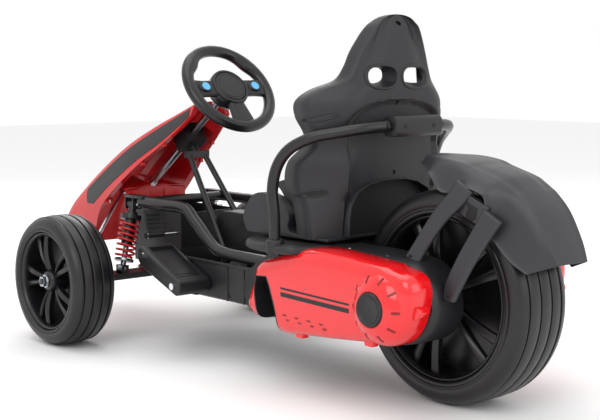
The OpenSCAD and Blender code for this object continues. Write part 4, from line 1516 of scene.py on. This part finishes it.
def make_tray(wheelbase, paint):
    """Open floor tray with a rounded keel."""
    x0, x1, w, t = 334, wheelbase - 140, 128, 3
    tray = Shape()
    wall = [
        (-w, 190), (-w, 132), (-w + 6, 119), (-w + 20, 112.3), (w - 20, 112.3), (w - 6, 119),
        (w, 132), (w, 190),
    ]
    line = [(y, z) for y, z in wall]
    inner = [
        (y * (1 - t / w) if abs(y) > 100 else y, z + (t if abs(y) < 127 else 0))
        for y, z in wall
    ]
    section = line + inner[::-1]
    tray.loft([[(x, y, z) for y, z in section] for x in (x0, x1)], strips=True)
    tray.block((x0, -w + 3, 115.5), (x0 + t, w - 3, 190))
    tray.block((x1 - t, -w + 3, 150.5), (x1, w - 3, 190))
    for side in (-1, 1):
        for x in (352, 420, 470):
            tray.block(
                (x, min(side * 127, side * 130), 118), (x + 5, max(side * 127, side * 130), 184),
            )
        tray.block(
            (x0 + 2, min(side * 127, side * 131), 184),
            (x1 - 2, max(side * 127, side * 131), 190),
        )
    return tray.make("Floor tray", paint["cover"], bevel=1.2, segments=2)


def make_footrests(wheelbase, paint, copies):
    """Sloped treads with a raised rim, bolted to the tray's sides."""
    made = []
    rear, front = wheelbase - 308, wheelbase - 170
    for side, word in ((1, "left"), (-1, "right")):
        rest = Shape()
        outline = [
            (rear, 134), (rear + 12, 127), (front - 10, 172), (front, 184), (front, 204),
            (front - 10, 212), (rear + 4, 157), (rear - 1, 150),
        ]
        rest.plate(outline, min(side * 128.5, side * 205), max(side * 128.5, side * 205))
        body = rest.make(f"Footrest {word}", paint["cover"], bevel=4.5, segments=4)
        tread = Shape()
        low, high = (rear + 16, 159.5), (front - 20, 206)
        ring = []
        for lift in (-6, 8):
            ring.append(
                [
                    (low[0], side * 142, low[1] + lift),
                    (high[0], side * 136, high[1] + lift),
                    (high[0] + 2, side * 190, high[1] + lift),
                    (low[0], side * 196, low[1] + lift),
                ]
            )
        tread.loft(ring)
        cut(body, tread)
        groove = Shape().block(
            (-2.2, -26, -0.6), (2.2, 26, 0.8),
        ).turned(Matrix.Rotation(math.radians(-24), 4, "Y"))
        ribs = groove.make(f"Footrest ribs {word}", paint["cover"], bevel=0.5, start=0)
        run_group(
            ribs,
            copies,
            Count=3,
            Start=point(rear + 24, side * 168, 157.0),
            Step=(0.008, 0, 0.0036),
            Turn=0.0,
            Material=paint["cover"],
        )
        made.append((word, body, ribs))
    return made


def make_console(wheelbase, paint):
    front, crest, base = wheelbase - 190, wheelbase - 285, 192
    hollow = [
        (crest - 32 + 32 * math.cos(a), 272 - 32 * math.sin(a))
        for a in np.linspace(0, math.pi / 2, 9)
    ]
    outline = [
        (430, base), (front, base), (front, 250), (front - 6, 262), (front - 18, 269),
        (crest + 6, 270),
    ]
    outline += [(x, z) for x, z in hollow] + [(430, 240)]
    body = Shape().plate(outline, -24, 24)
    return body.make("Console", paint["cover"], bevel=2.5, segments=3)


# Add-on -----------------------------------------------------------------------


class KartSizes(bpy.types.PropertyGroup):
    """Sizes of the kart's main pieces."""

    wheelbase: bpy.props.FloatProperty(
        name="Wheelbase", description="Rear axle to front axle line", default=0.83, unit="LENGTH"
    )
    front_track: bpy.props.FloatProperty(
        name="Front track", description="Between the front tyres' middles", default=0.539, unit="LENGTH"
    )
    front_radius: bpy.props.FloatProperty(
        name="Front tyre radius", description="Outer radius", default=0.131, unit="LENGTH"
    )
    front_width: bpy.props.FloatProperty(
        name="Front tyre width", description="Overall width", default=0.095, unit="LENGTH"
    )
    rear_radius: bpy.props.FloatProperty(
        name="Rear tyre radius", description="Outer radius", default=0.18, unit="LENGTH"
    )
    rear_width: bpy.props.FloatProperty(
        name="Rear tyre width", description="Overall width", default=0.125, unit="LENGTH"
    )
    wheel_radius: bpy.props.FloatProperty(
        name="Steering wheel radius", description="Outer radius", default=0.106, unit="LENGTH"
    )
    spring_turns: bpy.props.IntProperty(
        name="Spring turns", description="Turns of each coil spring", default=7, min=3, max=14
    )
    lens: bpy.props.FloatProperty(
        name="Lens", description="Focal length of the view", default=77.0, unit="CAMERA"
    )


PAINT = {}
GROUPS = {}


class KART_OT_materials(bpy.types.Operator):
    """Make every finish and paint the CAD pieces that stay"""

    bl_idname = "kart.materials"
    bl_label = "Materials"

    def execute(self, context):
        PAINT.update(make_materials())
        GROUPS["copies"] = copies_group()
        GROUPS["coil"] = coil_group()
        keys = {
            "frame_steel": "coat",
            "zinc_steel": "zinc",
            "chrome_hardware": "chrome",
            "black_moulding": "cover",
            "seat_moulding": "seat",
            "wheel_moulding": "rim",
            "tyre_black": "tyre",
            "nose_red": "nose",
            "pod_red": "pod",
            "spring_red": "spring",
            "inlay_black": "film",
            "button_blue": "blue",
            "belt_web": "web",
            "battery_case": "case",
            "motor_case": "can",
            "gear_nylon": "nylon",
        }
        for entry in frame["record"]["subparts"]:
            node = frame["nodes"][entry["node"]]
            node.data.materials.clear()
            node.data.materials.append(PAINT[keys[entry["material_slot"]]])
        return {"FINISHED"}


class KART_OT_wheels(bpy.types.Operator):
    """Build the three tyres and rims"""

    bl_idname = "kart.wheels"
    bl_label = "Wheels"

    def execute(self, context):
        size = context.scene.kart
        base, track = size.wheelbase * 1000, size.front_track * 500
        r, width = size.front_radius * 1000, size.front_width * 1000
        for word, side in (("left", 1), ("right", -1)):
            centre = (base, side * track, r)
            tyre = make_tyre(f"Front tyre {word}", centre, r, width, 98, PAINT["tyre"])
            place(tyre, f"wheel_{word}", "tyre_black", f"front_tyre_{word}")
            made = make_front_rim(word, side, centre, width)
            for obj in made:
                place(obj, f"wheel_{word}", "wheel_moulding", f"front_rim_{word}")
        r, width = size.rear_radius * 1000, size.rear_width * 1000
        centre = (0, 0, r)
        tyre = make_tyre("Rear tyre", centre, r, width, 137.5, PAINT["tyre"])
        place(tyre, "rear_wheel", "tyre_black", "rear_tyre")
        for obj in make_rim(
            "Rear rim", centre, 137.3, width, 30, (1, -1), PAINT["rim"], GROUPS["copies"],
        ):
            place(obj, "rear_wheel", "wheel_moulding", "rear_rim")
        return {"FINISHED"}


def make_front_rim(word, side, centre, width):
    """The right rim is the left one's mirror image."""
    left = (centre[0], abs(centre[1]), centre[2])
    made = make_rim(
        f"Front rim {word}", left, 97.8, width, 22, (1,), PAINT["rim"], GROUPS["copies"],
    )
    if side < 0:
        for obj in made:
            obj.data.transform(Matrix.Scale(-1, 4, (0, 1, 0)))
            obj.data.flip_normals()
    return made


class KART_OT_nose(bpy.types.Operator):
    """Build the nose cowl, its films and its fastenings"""

    bl_idname = "kart.nose"
    bl_label = "Nose"

    def execute(self, context):
        base = context.scene.kart.wheelbase * 1000
        cowl, film = make_nose(base, PAINT)
        place(cowl, "chassis", "nose_red", "nose_cowl")
        place(film, "chassis", "inlay_black", "nose_inlays")
        place(make_nose_inside(base, PAINT), "chassis", "nose_red", "nose_bulkhead")
        place(make_shroud(base, PAINT), "chassis", "nose_red")
        boss, clips, heads = make_nose_tabs(base, PAINT)
        place(boss, "chassis", "nose_red")
        place(clips, "chassis", "nose_red")
        place(heads, "chassis", "chrome_hardware")
        return {"FINISHED"}


class KART_OT_steering(bpy.types.Operator):
    """Build the steering wheel"""

    bl_idname = "kart.steering"
    bl_label = "Steering wheel"

    def execute(self, context):
        size = context.scene.kart
        grip, spokes, hub, pad = make_steering_wheel(
            size.wheelbase * 1000, size.wheel_radius * 1000, PAINT
        )
        for obj in (grip, spokes, hub):
            place(obj, "steering", "wheel_moulding", "steering_wheel")
        place(pad, "steering", "wheel_moulding", "wheel_hub_cover")
        return {"FINISHED"}


class KART_OT_seat(bpy.types.Operator):
    """Build the seat shell, its base and the lap straps"""

    bl_idname = "kart.seat"
    bl_label = "Seat"

    def execute(self, context):
        parts, base = make_seat(PAINT)
        for obj in parts:
            place(obj, "chassis", "seat_moulding", "seat_back")
        place(base, "chassis", "seat_moulding", "seat_base")
        place(make_straps(PAINT), "chassis", "belt_web", "lap_belts")
        return {"FINISHED"}


class KART_OT_tubes(bpy.types.Operator):
    """Bend the side rails and the roll hoop, and clamp the bracket on"""

    bl_idname = "kart.tubes"
    bl_label = "Frame tubes"

    def execute(self, context):
        base = context.scene.kart.wheelbase * 1000
        place(make_hoop(PAINT), "chassis", "frame_steel", "roll_hoop")
        for obj in make_bracket(PAINT):
            place(obj, "chassis", "frame_steel", "hoop_bracket")
        for obj, node in zip(make_rails(base, PAINT), ("rail_left", "rail_right")):
            place(obj, "chassis", "frame_steel", node)
        return {"FINISHED"}


class KART_OT_springs(bpy.types.Operator):
    """Wind the two coil springs"""

    bl_idname = "kart.springs"
    bl_label = "Springs"

    def execute(self, context):
        size = context.scene.kart
        for word, side in (("left", 1), ("right", -1)):
            obj = make_spring(
                f"Coil spring {word}",
                side,
                size.wheelbase * 1000,
                size.spring_turns,
                PAINT,
                GROUPS["coil"],
            )
            place(obj, "chassis", "spring_red", f"coil_spring_{word}")
            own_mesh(obj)
        return {"FINISHED"}


class KART_OT_rear(bpy.types.Operator):
    """Build the pods, side covers, deck and rear fender"""

    bl_idname = "kart.rear"
    bl_label = "Rear body"

    def execute(self, context):
        for word in ("left", "right"):
            made = make_pod(f"Pod {word}", PAINT, GROUPS["copies"])
            covers = make_side_cover(f"Side cover {word}", PAINT)
            if word == "right":
                for obj in made + covers:
                    obj.data.transform(Matrix.Scale(-1, 4, (0, 1, 0)))
                    obj.data.flip_normals()
            for obj in made:
                place(obj, "chassis", "pod_red", f"pod_{word}")
            for obj in covers:
                place(obj, "chassis", "black_moulding", f"side_cover_{word}")
        for obj in make_deck(PAINT):
            place(obj, "chassis", "black_moulding", "body_deck")
        for obj in make_fender(PAINT):
            place(obj, "chassis", "black_moulding", "rear_fender")
        return {"FINISHED"}


class KART_OT_floor(bpy.types.Operator):
    """Build the floor tray, footrests and console"""

    bl_idname = "kart.floor"
    bl_label = "Floor"

    def execute(self, context):
        base = context.scene.kart.wheelbase * 1000
        place(make_tray(base, PAINT), "chassis", "black_moulding", "floor_tray")
        place(make_console(base, PAINT), "chassis", "black_moulding", "console")
        for word, body, ribs in make_footrests(base, PAINT, GROUPS["copies"]):
            place(body, "chassis", "black_moulding", f"footrest_{word}")
            place(ribs, "chassis", "black_moulding", f"footrest_{word}")
        return {"FINISHED"}


class KART_OT_stage(bpy.types.Operator):
    """Set the pale floor, the soft lights and the view"""

    bl_idname = "kart.stage"
    bl_label = "Stage"

    def execute(self, context):
        scene = context.scene
        mesh = bpy.data.meshes.new("Floor")
        mesh.from_pydata([(-9, -9, 0), (9, -9, 0), (9, 9, 0), (-9, 9, 0)], [], [(0, 1, 2, 3)])
        floor = bpy.data.objects.new("Floor", mesh)
        scene.collection.objects.link(floor)
        pale = bpy.data.materials.new("Pale studio floor")
        pale.use_nodes = True
        shader = pale.node_tree.nodes["Principled BSDF"]
        shader.inputs["Base Color"].default_value = (0.9, 0.9, 0.9, 1)
        shader.inputs["Roughness"].default_value = 0.9
        mesh.materials.append(pale)
        world = scene.world or bpy.data.worlds.new("Studio")
        scene.world = world
        world.use_nodes = True
        back = world.node_tree.nodes["Background"]
        back.inputs["Color"].default_value = (1, 1, 1, 1)
        back.inputs["Strength"].default_value = 1.0
        lights = (
            ("Key", (-1.6, 2.6, 2.6), 2.2, 34),
            ("Fill", (-3.2, -0.6, 1.6), 2.0, 16),
            ("Top", (0.4, 0.2, 3.2), 2.6, 26),
            ("Rim", (2.4, -1.6, 2.0), 1.6, 18),
        )
        for name, spot, width, power in lights:
            lamp = bpy.data.lights.new(name, "AREA")
            lamp.size, lamp.energy = width, power
            obj = bpy.data.objects.new(name, lamp)
            obj.location = spot
            aim = Vector((0, 0, 0.25)) - Vector(spot)
            obj.rotation_euler = aim.to_track_quat("-Z", "Y").to_euler()
            scene.collection.objects.link(obj)
        lens = bpy.data.cameras.new("View")
        lens.lens = scene.kart.lens
        camera = bpy.data.objects.new("View", lens)
        camera.location = (-1.8776, 1.5955, 0.5594)
        yaw, pitch = math.radians(-41.07), math.radians(-6.4)
        aim = Vector(
            (math.cos(yaw) * math.cos(pitch), math.sin(yaw) * math.cos(pitch), math.sin(pitch))
        )
        camera.rotation_euler = aim.to_track_quat("-Z", "Y").to_euler()
        scene.collection.objects.link(camera)
        scene.camera = camera
        scene.view_settings.view_transform = "Standard"
        return {"FINISHED"}


class KART_PT_panel(bpy.types.Panel):
    """Sizes and build buttons"""

    bl_idname = "KART_PT_panel"
    bl_label = "Drift kart"
    bl_space_type = "VIEW_3D"
    bl_region_type = "UI"
    bl_category = "Kart"

    def draw(self, context):
        column = self.layout.column()
        for key in KartSizes.__annotations__:
            column.prop(context.scene.kart, key)
        for operator in OPERATORS:
            column.operator(operator.bl_idname)


OPERATORS = (
    KART_OT_materials,
    KART_OT_wheels,
    KART_OT_nose,
    KART_OT_steering,
    KART_OT_seat,
    KART_OT_tubes,
    KART_OT_springs,
    KART_OT_rear,
    KART_OT_floor,
    KART_OT_stage,
)
CLASSES = (KartSizes, *OPERATORS, KART_PT_panel)


def register():
    for cls in CLASSES:
        bpy.utils.register_class(cls)
    bpy.types.Scene.kart = bpy.props.PointerProperty(type=KartSizes)


def unregister():
    del bpy.types.Scene.kart
    for cls in reversed(CLASSES):
        bpy.utils.unregister_class(cls)


def main():
    register()
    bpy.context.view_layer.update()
    for operator in OPERATORS:
        group, name = operator.bl_idname.split(".")
        result = getattr(getattr(bpy.ops, group), name)()
        if result != {"FINISHED"}:
            raise RuntimeError(operator.bl_idname + " did not finish")


if __name__ == "__main__":
    main()
